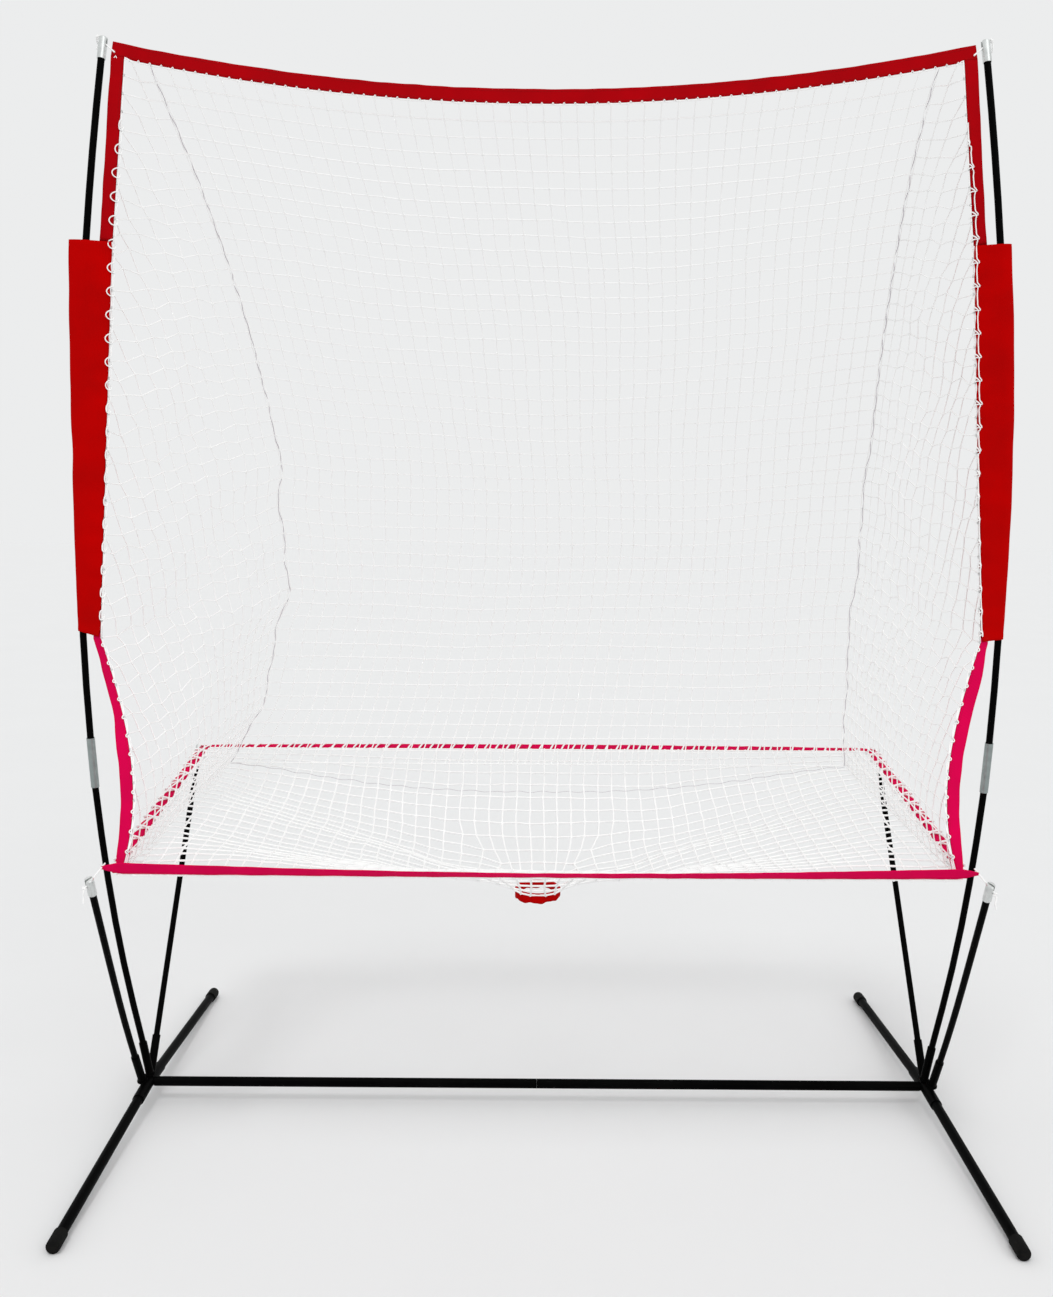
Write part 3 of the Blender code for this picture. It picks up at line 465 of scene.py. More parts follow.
def rim_height(y):
    share = (y - TRAY_FRONT.y) / (TRAY_REAR.y - TRAY_FRONT.y)
    return TRAY_FRONT.z + (TRAY_REAR.z - TRAY_FRONT.z) * share


def front_edge(t):
    """The net's front edge on the right, from its top (0) to the tray's corner (1)."""
    if t < STRAIGHT_SHARE:
        head_x = TOP_CORNER.x - EDGE_SEAT - TAPE_WIDTH
        head = Vector((head_x, TOP_CORNER.y, top_foot(TOP_CORNER.x) - EDGE_SEAT))
        reach = t / STRAIGHT_SHARE
        if reach < KNEE:
            return head.lerp(SLEEVE_TOP_EDGE, reach / KNEE)
        return SLEEVE_TOP_EDGE.lerp(SLEEVE_FOOT_EDGE, (reach - KNEE) / (1 - KNEE))
    corner = TRAY_FRONT + Vector((-EDGE_FOOT_IN, 0.004, 0.0))
    corner.z = rim_height(corner.y) + FOOT_GAP
    pull = (SLEEVE_FOOT_EDGE, PULL_UPPER, PULL_LOWER, corner)
    return bezier(pull, (t - STRAIGHT_SHARE) / (1 - STRAIGHT_SHARE))


# %% [markdown]
# ## The tray's surface
# The tray is a slack net that a heavy ring pulls down in the middle. A power law gives the
# funnel a soft start at the rim and a steep end at the ring, and a parabola adds the slack
# behind it. The height is a function of the place, so every cord on the tray can ask for it.

# %% The tray's surface
FUNNEL_DEPTH = 0.212
FUNNEL_SHARP = 1.35
FUNNEL_SQUARE = 3.0
REAR_SAG = 0.045
COLLAR_TOP = 0.502
RING = Vector((0.0, (TRAY_FRONT.y + TRAY_REAR.y) / 2, COLLAR_TOP))


def tray_y(share):
    return TRAY_FRONT.y + (TRAY_REAR.y - TRAY_FRONT.y) * share


def tray_half_width(y):
    share = (y - TRAY_FRONT.y) / (TRAY_REAR.y - TRAY_FRONT.y)
    return TRAY_FRONT.x + (TRAY_REAR.x - TRAY_FRONT.x) * share


def tray_height(x, y):
    across = min(1.0, abs(x) / tray_half_width(y))
    deep = (y - RING.y) / ((TRAY_REAR.y - TRAY_FRONT.y) / 2)
    reach = (across ** FUNNEL_SQUARE + abs(deep) ** FUNNEL_SQUARE) ** (1 / FUNNEL_SQUARE)
    funnel = FUNNEL_DEPTH * max(0.0, 1.0 - reach) ** FUNNEL_SHARP
    behind = max(0.0, min(1.0, deep))
    return rim_height(y) - funnel - REAR_SAG * 4 * behind * (1 - behind) * (1 - across ** 2)


def seam_foot():
    y = tray_y(BACK_FOOT_SHARE)
    x = tray_half_width(y) - SEAM_FOOT_IN
    return Vector((x, y, tray_height(x, y) + FOOT_GAP))


def seam(t):
    """The join of the right side panel and the back, from its top (0) to its foot (1)."""
    head = Vector((SEAM_TOP_X, top_back(SEAM_TOP_X), top_foot(SEAM_TOP_X) - EDGE_SEAT))
    return bezier((head, SEAM_UPPER, SEAM_LOWER, seam_foot()), t)


def ruler(line, first=0.0, last=1.0, steps=240):
    """A line's length, and a function from a distance along it to the line's parameter."""
    marks = [first + (last - first) * step / steps for step in range(steps + 1)]
    travelled = [0.0]
    for before, after in zip(marks, marks[1:]):
        travelled.append(travelled[-1] + (line(after) - line(before)).length)

    def at(distance):
        index = min(max(bisect.bisect_right(travelled, distance) - 1, 0), steps - 1)
        share = (distance - travelled[index]) / (travelled[index + 1] - travelled[index])
        return min(last, marks[index] + (marks[index + 1] - marks[index]) * share)

    return travelled[-1], at


seam_length, seam_at = ruler(seam)
edge_length, edge_at = ruler(front_edge)
SEAM_SWAY = {-1: 0.010, 1: 0.004}
NET_LEAN = 0.080
LEAN_LOW = 1.25


def net_lean(t):
    """How far the slack net has drifted to the right, most a little below its middle."""
    return NET_LEAN * math.sin(math.pi * min(1.0, max(0.0, t)) ** LEAN_LOW)


def seam_sway(side, t):
    """How far a seam strays sideways in its slack lower half, more on the left."""
    slack = math.sin(math.pi * min(1.0, max(0.0, (t - 0.38) / 0.60))) ** 0.7
    ripple = math.sin(31 * t + 0.6 * side) + 0.55 * math.sin(67 * t + side)
    return SEAM_SWAY[side] * slack * ripple


print("seam", round(seam_length, 3), "m, front edge", round(edge_length, 3), "m")

# %% [markdown]
# ## Yarn
# A cord in Blender is a curve with a bevel: the curve is the cord's middle line and the bevel
# its thickness. Many cords can share one curve object, as separate splines, which suits a net
# with a hundred lines. Each point may swell or thin its cord, and that makes the knots.

# %% Yarn
def new_yarn(name, diameter, finish, sides_step=1):
    curve = bpy.data.curves.new(name, "CURVE")
    curve.dimensions = "3D"
    curve.bevel_depth = diameter / 2
    curve.bevel_resolution = sides_step
    curve.use_fill_caps = True
    curve.materials.append(finish)
    return curve


def lay_straight(curve, points, swells=None, closed=False):
    """A cord that runs straight from point to point."""
    spline = curve.splines.new("POLY")
    spline.points.add(len(points) - 1)
    spline.use_cyclic_u = closed
    for index, (slot, point) in enumerate(zip(spline.points, points)):
        slot.co = (*point, 1.0)
        if swells:
            slot.radius = swells[index]


def lay_smooth(curve, points, closed=False, steps=3):
    """A cord that bends softly through its points."""
    spline = curve.splines.new("BEZIER")
    spline.resolution_u = steps
    spline.bezier_points.add(len(points) - 1)
    spline.use_cyclic_u = closed
    for slot, point in zip(spline.bezier_points, points):
        slot.co = point
        slot.handle_left_type = "AUTO"
        slot.handle_right_type = "AUTO"


def keep(name, data, slot_name, *stands_for):
    """Adds a finished piece, which moves with the frame and stands for the named nodes."""
    piece = add_object(name, data)
    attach(piece, "frame")
    if stands_for:
        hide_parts(*stands_for)
    return piece


def wander(point, size, reach):
    """A small steady shift that makes neighbours differ, as hand-tied work does."""
    return noise.noise_vector(point / size) * reach


# %% [markdown]
# ## Netting
# Each panel is knotted from twine in squares of 35 mm. It could be a plane with a picture of
# holes, or a Wireframe modifier, but both look flat up close. Here each line of twine is a
# cord of its own that swells at every knot. A panel is first a table of knots, and the lines
# then run along its rows and down its columns, with a break wherever a knot is missing.

# %% Netting
MESH = 0.035
TWINE_D = 0.0028
TRAY_TWINE_D = 0.0044
KNOT_SWELL = 1.75
KNOT_REACH = 0.0038
HELD_THIN = 0.25


def runs_between_gaps(knots):
    run = []
    for knot in [*knots, None]:
        if knot is not None:
            run.append(knot)
        elif run:
            if len(run) > 1:
                yield run
            run = []


def lay_twine(curve, knots):
    """One line of twine through its knots, which it swells into."""
    for run in runs_between_gaps(knots):
        points = [run[0]]
        swells = [KNOT_SWELL]
        for before, after in zip(run, run[1:]):
            step = after - before
            if step.length > 3 * KNOT_REACH:
                neck = step.normalized() * KNOT_REACH
                points += [before + neck, after - neck]
                swells += [1.0, 1.0]
            points.append(after)
            swells.append(KNOT_SWELL)
        swells[0] = HELD_THIN
        swells[-1] = HELD_THIN
        lay_straight(curve, points, swells)


def lay_net(curve, knots):
    """The twine of a whole panel, given as rows of knots."""
    for row in knots:
        lay_twine(curve, row)
    for column in zip(*knots):
        lay_twine(curve, column)


def net_area(knots):
    """The panel's own area: half the cross product of each mesh's diagonals."""
    total = 0.0
    for upper, lower in zip(knots, knots[1:]):
        for a, b, c, d in zip(upper, upper[1:], lower, lower[1:]):
            if None not in (a, b, c, d):
                total += (d - a).cross(c - b).length / 2
    return total


def declare_net(piece, knots, length):
    """Prints a panel's flat size: a net is mostly holes, so its width is its own area over its length."""
    width = net_area(knots) / length
    print(piece.name, "flat", round(width, 3), "x", round(length, 3), "m")


# %% [markdown]
# ## Back panel
# The back panel hangs from the top band, spreads between the two seams and ends on the tray.
# It bellies backwards, because it is cut longer than the space it fills. Its meshes stay as
# many from top to bottom, so they open and close with the width.

# %% Back panel
BACK_FULLNESS = 0.045
BACK_COLUMNS = 46
PANEL_ROWS = round(seam_length / MESH)
SEAM_HALF = 0.0028


def back_point(across, t):
    """A point of the back panel; across runs from -1 at the left seam to 1 at the right."""
    edge = seam(t)
    middle = 1.0 - across ** 2
    point = Vector((across * (edge.x - SEAM_HALF), edge.y, edge.z))
    point.y += BACK_FULLNESS * math.sin(math.pi * t) * middle
    point.y += (top_back(0.0) - top_back(SEAM_TOP_X)) * (1.0 - t) * middle
    point.z -= (top_foot(SEAM_TOP_X) - top_foot(0.0)) * (1.0 - t) * middle
    if t <= 0.0:
        point.y = top_back(point.x)
        point.z = top_foot(point.x) - EDGE_SEAT
    if t >= 1.0:
        point.z = tray_height(point.x, point.y) + FOOT_GAP
    return point


def slackness(t):
    """How freely a knot may stray: not at all where the panel is held."""
    return min(1.0, 5 * t, 5 * (1.0 - t))


def back_knots():
    knots = []
    for row in range(PANEL_ROWS + 1):
        t = seam_at(seam_length * row / PANEL_ROWS)
        line = []
        for column in range(BACK_COLUMNS + 1):
            across = 2 * column / BACK_COLUMNS - 1
            point = back_point(across, t)
            free = slackness(row / PANEL_ROWS) * min(1.0, 6 * (1.0 - abs(across)))
            point += wander(point, 0.30, 0.010) * free + wander(point, 0.045, 0.0032) * free
            point.x += seam_sway(1 if across > 0 else -1, t) * abs(across) ** 6 + net_lean(t)
            line.append(point)
        knots.append(line)
    return knots


back_lattice = back_knots()
back_twine = new_yarn("back_netting", TWINE_D, TWINE)
lay_net(back_twine, back_lattice)
back_net = keep("back_netting", back_twine, "white_net", "net_back")
declare_net(back_net, back_lattice, seam_length)

# %% [markdown]
# ## Side panels
# A side panel is a narrow triangle: two meshes wide under the top band and twenty at the tray.
# It is cut on the slant along its front edge, so its columns run parallel to the seam and stop
# at a stout edge cord. Its knots have slipped a little, which turns squares into hexagons.

# %% Side panels
SIDE_FULLNESS = 0.020
SIDE_COLUMNS = 22
EDGE_CORD_D = 0.0032
KNOT_SLIP = 0.0042


def side_point(t, front_t, distance):
    """A point of the right panel at a distance from the seam, with the panel's width there."""
    rear = seam(t) + Vector((SEAM_HALF, 0.0, 0.0))
    front = front_edge(front_t)
    width = (front - rear).length
    share = distance / width
    point = rear.lerp(front, min(1.0, share))
    if 0.0 < t < 1.0:
        point.y += SIDE_FULLNESS * 4 * share * max(0.0, 1.0 - share)
    elif t <= 0.0:
        point.y = top_back(point.x)
        point.z = top_foot(point.x) - EDGE_SEAT
    return point, width


def side_knots(side):
    knots = []
    for row in range(PANEL_ROWS + 1):
        t = seam_at(seam_length * row / PANEL_ROWS)
        front_t = edge_at(edge_length * row / PANEL_ROWS)
        line = []
        for column in range(SIDE_COLUMNS + 1):
            point, width = side_point(t, front_t, column * MESH)
            if column * MESH > width - 0.3 * MESH:
                tied = len(line) == column and None not in line
                line.append(on_side(front_edge(front_t), side) if tied else None)
                continue
            free = slackness(row / PANEL_ROWS) * min(1.0, column / 3)
            slip = KNOT_SLIP if (row + column) % 2 else -KNOT_SLIP
            placed = on_side(point, side)
            held = max(0.0, 1.0 - column * MESH / width)
            placed.x += seam_sway(side, t) * held ** 2 + net_lean(t) * held
            placed += wander(placed, 0.18, 0.014) * free + wander(placed, 0.05, 0.005) * free
            placed.z += slip * free
            line.append(placed)
        knots.append(line)
    return knots


side_nets = {}
side_lattices = {}
for label, side in SIDES:
    lattice = side_knots(side)
    panel = new_yarn(f"side_netting_{label}", TWINE_D, TWINE)
    lay_net(panel, lattice)
    side_nets[label] = keep(f"side_netting_{label}", panel, "white_net", f"net_side_{label}")
    side_lattices[label] = lattice

# %% [markdown]
# ## Tray netting
# The tray is one flat piece of netting, 49 meshes by 25, with a hole of three by three meshes
# in its middle. The hole's twelve edge knots are tied round the ring, and the meshes near it
# are drawn in after them. A smooth weight does that: it is one at the ring and fades to zero.

# %% Tray netting
TRAY_COLUMNS = 49
TRAY_ROWS = 25
COLLAR_R = 0.0525
HOLE_CELLS = 1.5
DRAW_IN = 5.0
RING_GRIP = 0.004


def drawn_to_ring(point, cells_across, cells_deep):
    """Pulls a knot towards the ring, fully on the hole's edge and less further out."""
    cells = max(abs(cells_across), abs(cells_deep))
    weight = 1.0 - min(1.0, (cells - HOLE_CELLS) / DRAW_IN)
    weight = weight * weight * (3 - 2 * weight)
    bearing = math.atan2(point.y - RING.y, point.x - RING.x)
    reach = COLLAR_R + 0.0015 + (cells - HOLE_CELLS) * MESH * 0.55
    target = RING + Vector((math.cos(bearing), math.sin(bearing), 0.0)) * reach
    target.z = RING.z - RING_GRIP + (cells - HOLE_CELLS) * MESH * 0.42
    return point.lerp(target, weight)


def tray_knots():
    knots = []
    for row in range(TRAY_ROWS + 1):
        y = tray_y(row / TRAY_ROWS)
        line = []
        for column in range(TRAY_COLUMNS + 1):
            x = tray_half_width(y) * (2 * column / TRAY_COLUMNS - 1)
            deep = row - TRAY_ROWS / 2
            wide = column - TRAY_COLUMNS / 2
            if max(abs(deep), abs(wide)) < HOLE_CELLS:
                line.append(None)
                continue
            point = Vector((x, y, tray_height(x, y)))
            rim = min(row, TRAY_ROWS - row, column, TRAY_COLUMNS - column)
            free = min(1.0, rim / 3) * min(1.0, max(abs(deep), abs(wide)) / 6)
            point += wander(point, 0.22, 0.009) * free + wander(point, 0.045, 0.003) * free
            line.append(drawn_to_ring(point, wide, deep))
        knots.append(line)
    return knots


tray_lattice = tray_knots()
tray_twine = new_yarn("tray_netting", TRAY_TWINE_D, TWINE)
lay_net(tray_twine, tray_lattice)
tray_net = keep("tray_netting", tray_twine, "white_net", "net_tray")
declare_net(tray_net, tray_lattice, TRAY_REAR.y - TRAY_FRONT.y)
print("knots:", sum(len(row) for row in back_lattice + tray_lattice))

# %% [markdown]
# ## Cloth folded over an edge
# The bands and tapes round a net are strips of cloth folded lengthwise over its edge and sewn.
# So each is one sheet: up the front, round the fold and down the back. It starts as a flat
# grid with a UV map in metres, each point is moved to its place, and a Solidify modifier gives
# the cloth its gauge. The grid's lines crowd at the fold, where the bend needs them.

# %% Cloth folded over an edge
CLOTH_GAUGE = 0.0007
FOLD_R = 0.00085
FOLD_CROWDING = 1.7
RIPPLE_SIZE = 0.040
RIPPLE = 0.0011
FOLD_WAVE = 0.0010


def cloth(name, along, across, place, size, finish, gauge=CLOTH_GAUGE, joined=False):
    """A sheet of cloth of size (along, across) in metres, put in place point by point."""
    sheet = bmesh.new()
    sheet.loops.layers.uv.new("UVMap")
    bmesh.ops.create_grid(sheet, x_segments=along, y_segments=across, size=0.5, calc_uvs=True)
    chart = sheet.loops.layers.uv.active
    for face in sheet.faces:
        face.smooth = True
        for corner in face.loops:
            u, v = corner[chart].uv
            corner[chart].uv = (u * size[0], v * size[1])
    for spot in sheet.verts:
        spot.co = place(spot.co.x + 0.5, spot.co.y + 0.5)
    if joined:
        bmesh.ops.remove_doubles(sheet, verts=sheet.verts, dist=0.00001)
    mesh = bpy.data.meshes.new(name)
    sheet.to_mesh(mesh)
    sheet.free()
    mesh.materials.append(finish)
    return mesh, gauge


def keep_cloth(name, made, slot_name, *stands_for):
    mesh, gauge = made
    piece = keep(name, mesh, slot_name, *stands_for)
    wall = piece.modifiers.new("gauge", "SOLIDIFY")
    wall.thickness = gauge
    wall.offset = 0.0
    return piece


def folded(station):
    """The place on a folded tape; station(u) gives its inner edge, two directions and width."""
    def place(u, v):
        inner, outward, facing, width = station(u)
        share = abs(2 * v - 1)
        from_fold = width * share ** FOLD_CROWDING
        round_off = max(0.0, FOLD_R - from_fold)
        lift = math.sqrt(FOLD_R ** 2 - round_off ** 2)
        wave = FOLD_WAVE * noise.noise(inner / RIPPLE_SIZE) * (1.0 - share)
        point = inner + outward * (width - from_fold + wave)
        ripple = RIPPLE * noise.noise(point / RIPPLE_SIZE)
        return point + facing * (ripple + (lift if v < 0.5 else -lift))

    return place


STITCH = 0.0060
STITCH_BAR = 0.0046
THREAD_D = 0.0006


def sew(curve, station, length, inset, faces=(1, -1)):
    """A row of machine stitches on a tape, at a distance from its inner edge."""
    lift = FOLD_R + CLOTH_GAUGE / 2 + THREAD_D / 4
    for face in faces:
        points = []
        for stitch in range(int(length / STITCH)):
            for step, height in ((0.0, -THREAD_D), (0.12, 0.0), (STITCH_BAR / STITCH, 0.0)):
                inner, outward, facing, width = station((stitch + step) * STITCH / length)
                point = inner + outward * (inset if inset > 0 else width + inset)
                ripple = RIPPLE * noise.noise(point / RIPPLE_SIZE)
                points.append(point + facing * (ripple + face * (lift + height)))
        lay_straight(curve, points)


# %% [markdown]
# ## Top band
# A red cloth band carries the net's top edge from pole to pole, and sags between them like a
# slack clothes line. Its two ends reach the corners, where ties take over.

# %% Top band
FACING = Vector((0.0, -1.0, 0.0))
SEW_INSET = 0.0045


def top_station(u):
    x = TOP_CORNER.x * (2 * u - 1)
    rise = 2 * TOP_SAG * x / TOP_CORNER.x ** 2
    outward = Vector((-rise, 0.0, 1.0)).normalized()
    return Vector((x, top_back(x), top_foot(x))), outward, FACING, TOP_WIDTH


top_length = ruler(lambda u: top_station(u)[0])[0]
top_cloth = cloth("top_band", 220, 20, folded(top_station), (top_length, 2 * TOP_WIDTH), BINDING)
top_band = keep_cloth("top_band", top_cloth, "red_cloth", "top_trim")
top_thread = new_yarn("top_band_stitches", THREAD_D, RED_THREAD, 0)
sew(top_thread, top_station, top_length, SEW_INSET)
sew(top_thread, top_station, top_length, -SEW_INSET)
top_stitches = keep("top_band_stitches", top_thread, "red_cloth")
print("top band", round(top_length, 3), "m")

# %% [markdown]
# ## Side bands and tapes
# Between the corner and the sleeve a band binds the front edge, and below the sleeve a rose
# tape takes its place. The tape starts inside the sleeve, leaves it turned sideways and comes
# round to face the player on its way down, soon on the right and later on the left. One
# function serves both: it measures along the front edge and turns the tape by an angle that
# may change on the way.

# %% Side bands and tapes
UPPER_END = STRAIGHT_SHARE * KNEE
TUCKED_SHARE = 0.004
LOWER_START = STRAIGHT_SHARE - TUCKED_SHARE
SLEEVE_TURN = math.radians(24)
TWIST_OPENS = 0.05
TWISTS = {"left": (math.radians(30), 0.15, 0.11), "right": (math.radians(20), 0.01, 0.09)}
TWIST_END = math.radians(50)
CORNER_SHARP = 6
TUCKED_WIDTH = 0.018
TUCK_REACH = 0.07
LOWER_TAPE = ruler(front_edge, LOWER_START, 1.0)[0]


def edge_outward(t):
    step = 0.004
    run = front_edge(min(1.0, t + step)) - front_edge(max(0.0, t - step))
    return run.normalized().cross(Vector((0.0, 1.0, 0.0))).normalized()


def edge_station(label, side, first, last, turn, first_width):
    """Stations of a tape on the front edge between two parameters of that edge."""
    length, at = ruler(front_edge, first, last)

    def station(u):
        t = at(u * length)
        outward = edge_outward(t)
        run = (front_edge(min(1.0, t + 0.004)) - front_edge(max(0.0, t - 0.004))).normalized()
        facing = outward.cross(run).normalized()
        if facing.y > 0:
            facing = -facing
        angle = turn(label, u * length)
        across = outward * math.cos(angle) - facing * math.sin(angle)
        front = facing * math.cos(angle) + outward * math.sin(angle)
        inner = front_edge(t) + across * EDGE_SEAT
        narrower = (TAPE_WIDTH - first_width) * max(0.0, 1.0 - u * length / TUCK_REACH)
        width = TAPE_WIDTH - narrower
        return on_side(inner, side), on_side(across, side), on_side(front, side), width

    return station, length


def no_twist(label, distance):
    return 0.0


def lower_twist(label, distance):
    """The tape's turn: the sleeve's at first, none halfway, and most at the corner."""
    most, held_to, fades_over = TWISTS[label]
    opened = min(1.0, distance / TWIST_OPENS)
    share = min(1.0, max(0.0, 1.0 - (distance - held_to) / fades_over))
    from_sleeve = SLEEVE_TURN + (most - SLEEVE_TURN) * opened
    at_corner = TWIST_END * min(1.0, distance / LOWER_TAPE) ** CORNER_SHARP
    return from_sleeve * share * share * (3 - 2 * share) + at_corner


EDGE_TAPES = (
    ("side_band_upper", "side_trim_upper", (0.0, UPPER_END, no_twist, TAPE_WIDTH),
     BINDING, RED_THREAD, "red_cloth"),
    ("side_tape_lower", "side_trim_lower", (LOWER_START, 1.0, lower_twist, TUCKED_WIDTH),
     ROSE_TAPE, ROSE_THREAD, "rose_webbing"),
)
for label, side in SIDES:
    for name, node, way, finish, thread, slot_name in EDGE_TAPES:
        station, length = edge_station(label, side, *way)
        made = cloth(f"{name}_{label}", round(length / 0.008), 20, folded(station),
                     (length, 2 * TAPE_WIDTH), finish)
        tape = keep_cloth(f"{name}_{label}", made, slot_name, f"{node}_{label}")
        yarn = new_yarn(f"{name}_stitches_{label}", THREAD_D, thread, 0)
        sew(yarn, station, length, SEW_INSET)
        stitches = keep(f"{name}_stitches_{label}", yarn, slot_name)
        print(tape.name, round(length, 3), "m")

# %% [markdown]
# ## Pole sleeves
# A wide cloth sleeve holds the net to each pole. It is one sheet too: from the net's edge it
# goes round the pole and comes back, and both layers are sewn together at the edge. It is cut
# wider than the pole, so it hangs slack on the pole's far side, most at the top. The lacing
# pulls its edge into small scallops, and creases run from them into the cloth.

# %% Pole sleeves
MAIN_SEAT = Vector((0.000, 0.000, 0.030))
MAIN_AIM = Vector((0.115, -0.170, 1.000))
MAIN_LIFT = 0.150
MAIN_BELLY = Vector((1.015, -0.288, 1.017))
MAIN_END = Vector((0.885, -0.130, 2.282))
HUB = Vector((0.900, 0.000, 0.045))
SOCKET_DEPTH = 0.070
POLE_R = 0.007
SLEEVE_GAUGE = 0.0011
SLEEVE_EASE = 0.0013
SLEEVE_FLAT = 0.0018
SLEEVE_SLACK = {"left": (0.024, 0.005, 0.000), "right": (0.012, 0.007, 0.000)}
LACING_PITCH = 0.047
SCALLOP = 0.0016
CREASE = 0.0014
CREASE_REACH = 0.022
HEM = 0.014
HEM_LIFT = 0.0005
FOOT_RISE = {"left": 0.012, "right": 0.004}
FOLD_NOISE = 0.0030
SLACK_NOISE = 0.0022


def main_pole(height):
    """The main pole's middle on the right at a height, found by halving."""
    seat = HUB + MAIN_SEAT
    mouth = seat + MAIN_AIM.normalized() * SOCKET_DEPTH
    ends = (mouth, mouth + MAIN_AIM.normalized() * MAIN_LIFT, MAIN_BELLY, MAIN_END)
    low, high = 0.0, 1.0
    for _ in range(40):
        middle = (low + high) / 2
        if bezier(ends, middle).z < height:
            low = middle
        else:
            high = middle
    return bezier(ends, low)


def edge_at_height(height):
    return SLEEVE_TOP_EDGE.lerp(SLEEVE_FOOT_EDGE, (SLEEVE_TOP - height) / (SLEEVE_TOP - SLEEVE_FOOT))


def sleeve_frame(side, height):
    """The pole's middle, the way to the net's edge, the way to the player, and the reach."""
    pole = on_side(main_pole(height), side)
    inboard = on_side(edge_at_height(height), side) - pole
    inboard.z = 0.0
    reach = inboard.length - EDGE_SEAT
    inboard.normalize()
    facing = Vector((-inboard.y, inboard.x, 0.0))
    if facing.y > 0:
        facing = -facing
    return pole, inboard, facing, reach


def sleeve_place(label, side):
    ring = POLE_R + SLEEVE_EASE + SLEEVE_GAUGE / 2

    def place(u, v):
        height = SLEEVE_TOP - (SLEEVE_TOP - SLEEVE_FOOT) * u
        pole, inboard, facing, reach = sleeve_frame(side, height)
        slack = through(SLEEVE_SLACK[label], u)
        slack += SLACK_NOISE * noise.noise(Vector((side, 0.0, height / 0.09))) * min(1.0, slack / 0.004)
        wave = math.cos(2 * math.pi * (SLEEVE_TOP - height) / LACING_PITCH)
        reach -= SCALLOP * (0.5 + 0.5 * wave) ** 3
        share = abs(2 * v - 1) ** FOLD_CROWDING
        x = -(ring + slack) + (reach + ring + slack) * share
        if x < 0:
            half = ring * math.sqrt(max(0.0, 1.0 - (x / (ring + slack)) ** 2))
        else:
            half = SLEEVE_FLAT + (ring - SLEEVE_FLAT) * max(0.0, 1.0 - x / reach) ** 1.3
        from_end = min(u, 1 - u) * (SLEEVE_TOP - SLEEVE_FOOT)
        half += HEM_LIFT * (1.0 if from_end < HEM else 0.0)
        point = pole + inboard * x
        near_edge = math.exp((x - reach) / CREASE_REACH)
        loose = FOLD_NOISE * share * (1.0 - near_edge)
        crease = CREASE * near_edge * wave + loose * noise.noise(point / 0.09)
        point.z += FOOT_RISE[label] * max(0.0, (u - 0.9) / 0.1) ** 2 * (1.0 - share)
        side_of_fold = 1 if v < 0.5 else -1
        return point + facing * (crease + side_of_fold * half)

    return place


def sleeve_girth(label, side):
    ring = POLE_R + SLEEVE_EASE
    reach = sleeve_frame(side, (SLEEVE_TOP + SLEEVE_FOOT) / 2)[3]
    return 2 * (reach + ring + SLEEVE_SLACK[label][1]) + 0.6 * ring


for label, side in SIDES:
    drop = SLEEVE_TOP - SLEEVE_FOOT
    girth = sleeve_girth(label, side)
    made = cloth(f"sleeve_{label}", 160, 40, sleeve_place(label, side), (drop, girth),
                 SLEEVE_RED, SLEEVE_GAUGE)
    keep_cloth(f"sleeve_{label}", made, "red_cloth", f"pole_sleeve_{label}")
    print("sleeve", label, round(girth, 3), "x", round(drop, 3), "m")

# %% [markdown]
# ## Tray tapes
# Rose tapes bind the tray. The front and rear ones lean outwards, pulled by the ties at their
# ends. Both twist on their way across: the front one faces the player at its ends and lies
# flatter in the middle, and the rear one does the opposite. The side ones lie nearly level
# under their lacing, and are folded to a point where they meet the front one.

# %% Tray tapes
REAR_LEANS = (math.radians(3), math.radians(15), math.radians(3))
FRONT_LEANS = (math.radians(74), math.radians(32), math.radians(66))
TAPE_SEAT = 0.0035
TAPER = 0.034
POINT_WIDTH = 0.006
SIDE_TAPER = 0.10
TURNED_UP = 0.005


def cross_tape(corner, way, leans):
    half = corner.x + EDGE_SEAT + TAPE_WIDTH

    def station(u):
        lean = through(leans, u)
        outward = Vector((0.0, way * math.cos(lean), math.sin(lean)))
        facing = Vector((0.0, -math.sin(lean), way * math.cos(lean)))
        x = half * (2 * u - 1)
        width = TAPE_WIDTH - (TAPE_WIDTH - POINT_WIDTH) * max(0.0, 1.0 - (half - abs(x)) / TAPER)
        middle = Vector((x, corner.y, corner.z)) + outward * (TAPE_SEAT + TAPE_WIDTH / 2)
        return middle - outward * width / 2, outward, facing, width

    return station, 2 * half


def tray_side_station(side):
    gap = Vector((0.0029, 0.0, 0.0))
    length = (TRAY_REAR - TRAY_FRONT).length

    def station(u):
        inner = on_side(TRAY_FRONT.lerp(TRAY_REAR, u) + gap, side)
        inner.z += TURNED_UP * max(0.0, 1.0 - u * length / TAPER)
        width = TAPE_WIDTH - (TAPE_WIDTH - POINT_WIDTH) * max(0.0, 1.0 - u * length / SIDE_TAPER)
        return inner, Vector((side, 0.0, 0.0)), Vector((0.0, 0.0, 1.0)), width

    return station, length


TRAY_TAPES = (
    ("tray_tape_front", "tray_trim_front", *cross_tape(TRAY_FRONT, -1, FRONT_LEANS)),
    ("tray_tape_rear", "tray_trim_rear", *cross_tape(TRAY_REAR, 1, REAR_LEANS)),
    ("tray_tape_left", "tray_trim_side_left", *tray_side_station(-1)),
    ("tray_tape_right", "tray_trim_side_right", *tray_side_station(1)),
)
for name, node, station, length in TRAY_TAPES:
    made = cloth(name, round(length / 0.010), 16, folded(station), (length, 2 * TAPE_WIDTH), ROSE_TAPE)
    keep_cloth(name, made, "rose_webbing", node)
    yarn = new_yarn(f"{name}_stitches", THREAD_D, ROSE_THREAD, 0)
    sew(yarn, station, length, SEW_INSET)
    stitches = keep(f"{name}_stitches", yarn, "rose_webbing")
    print(name, round(length, 3), "m")

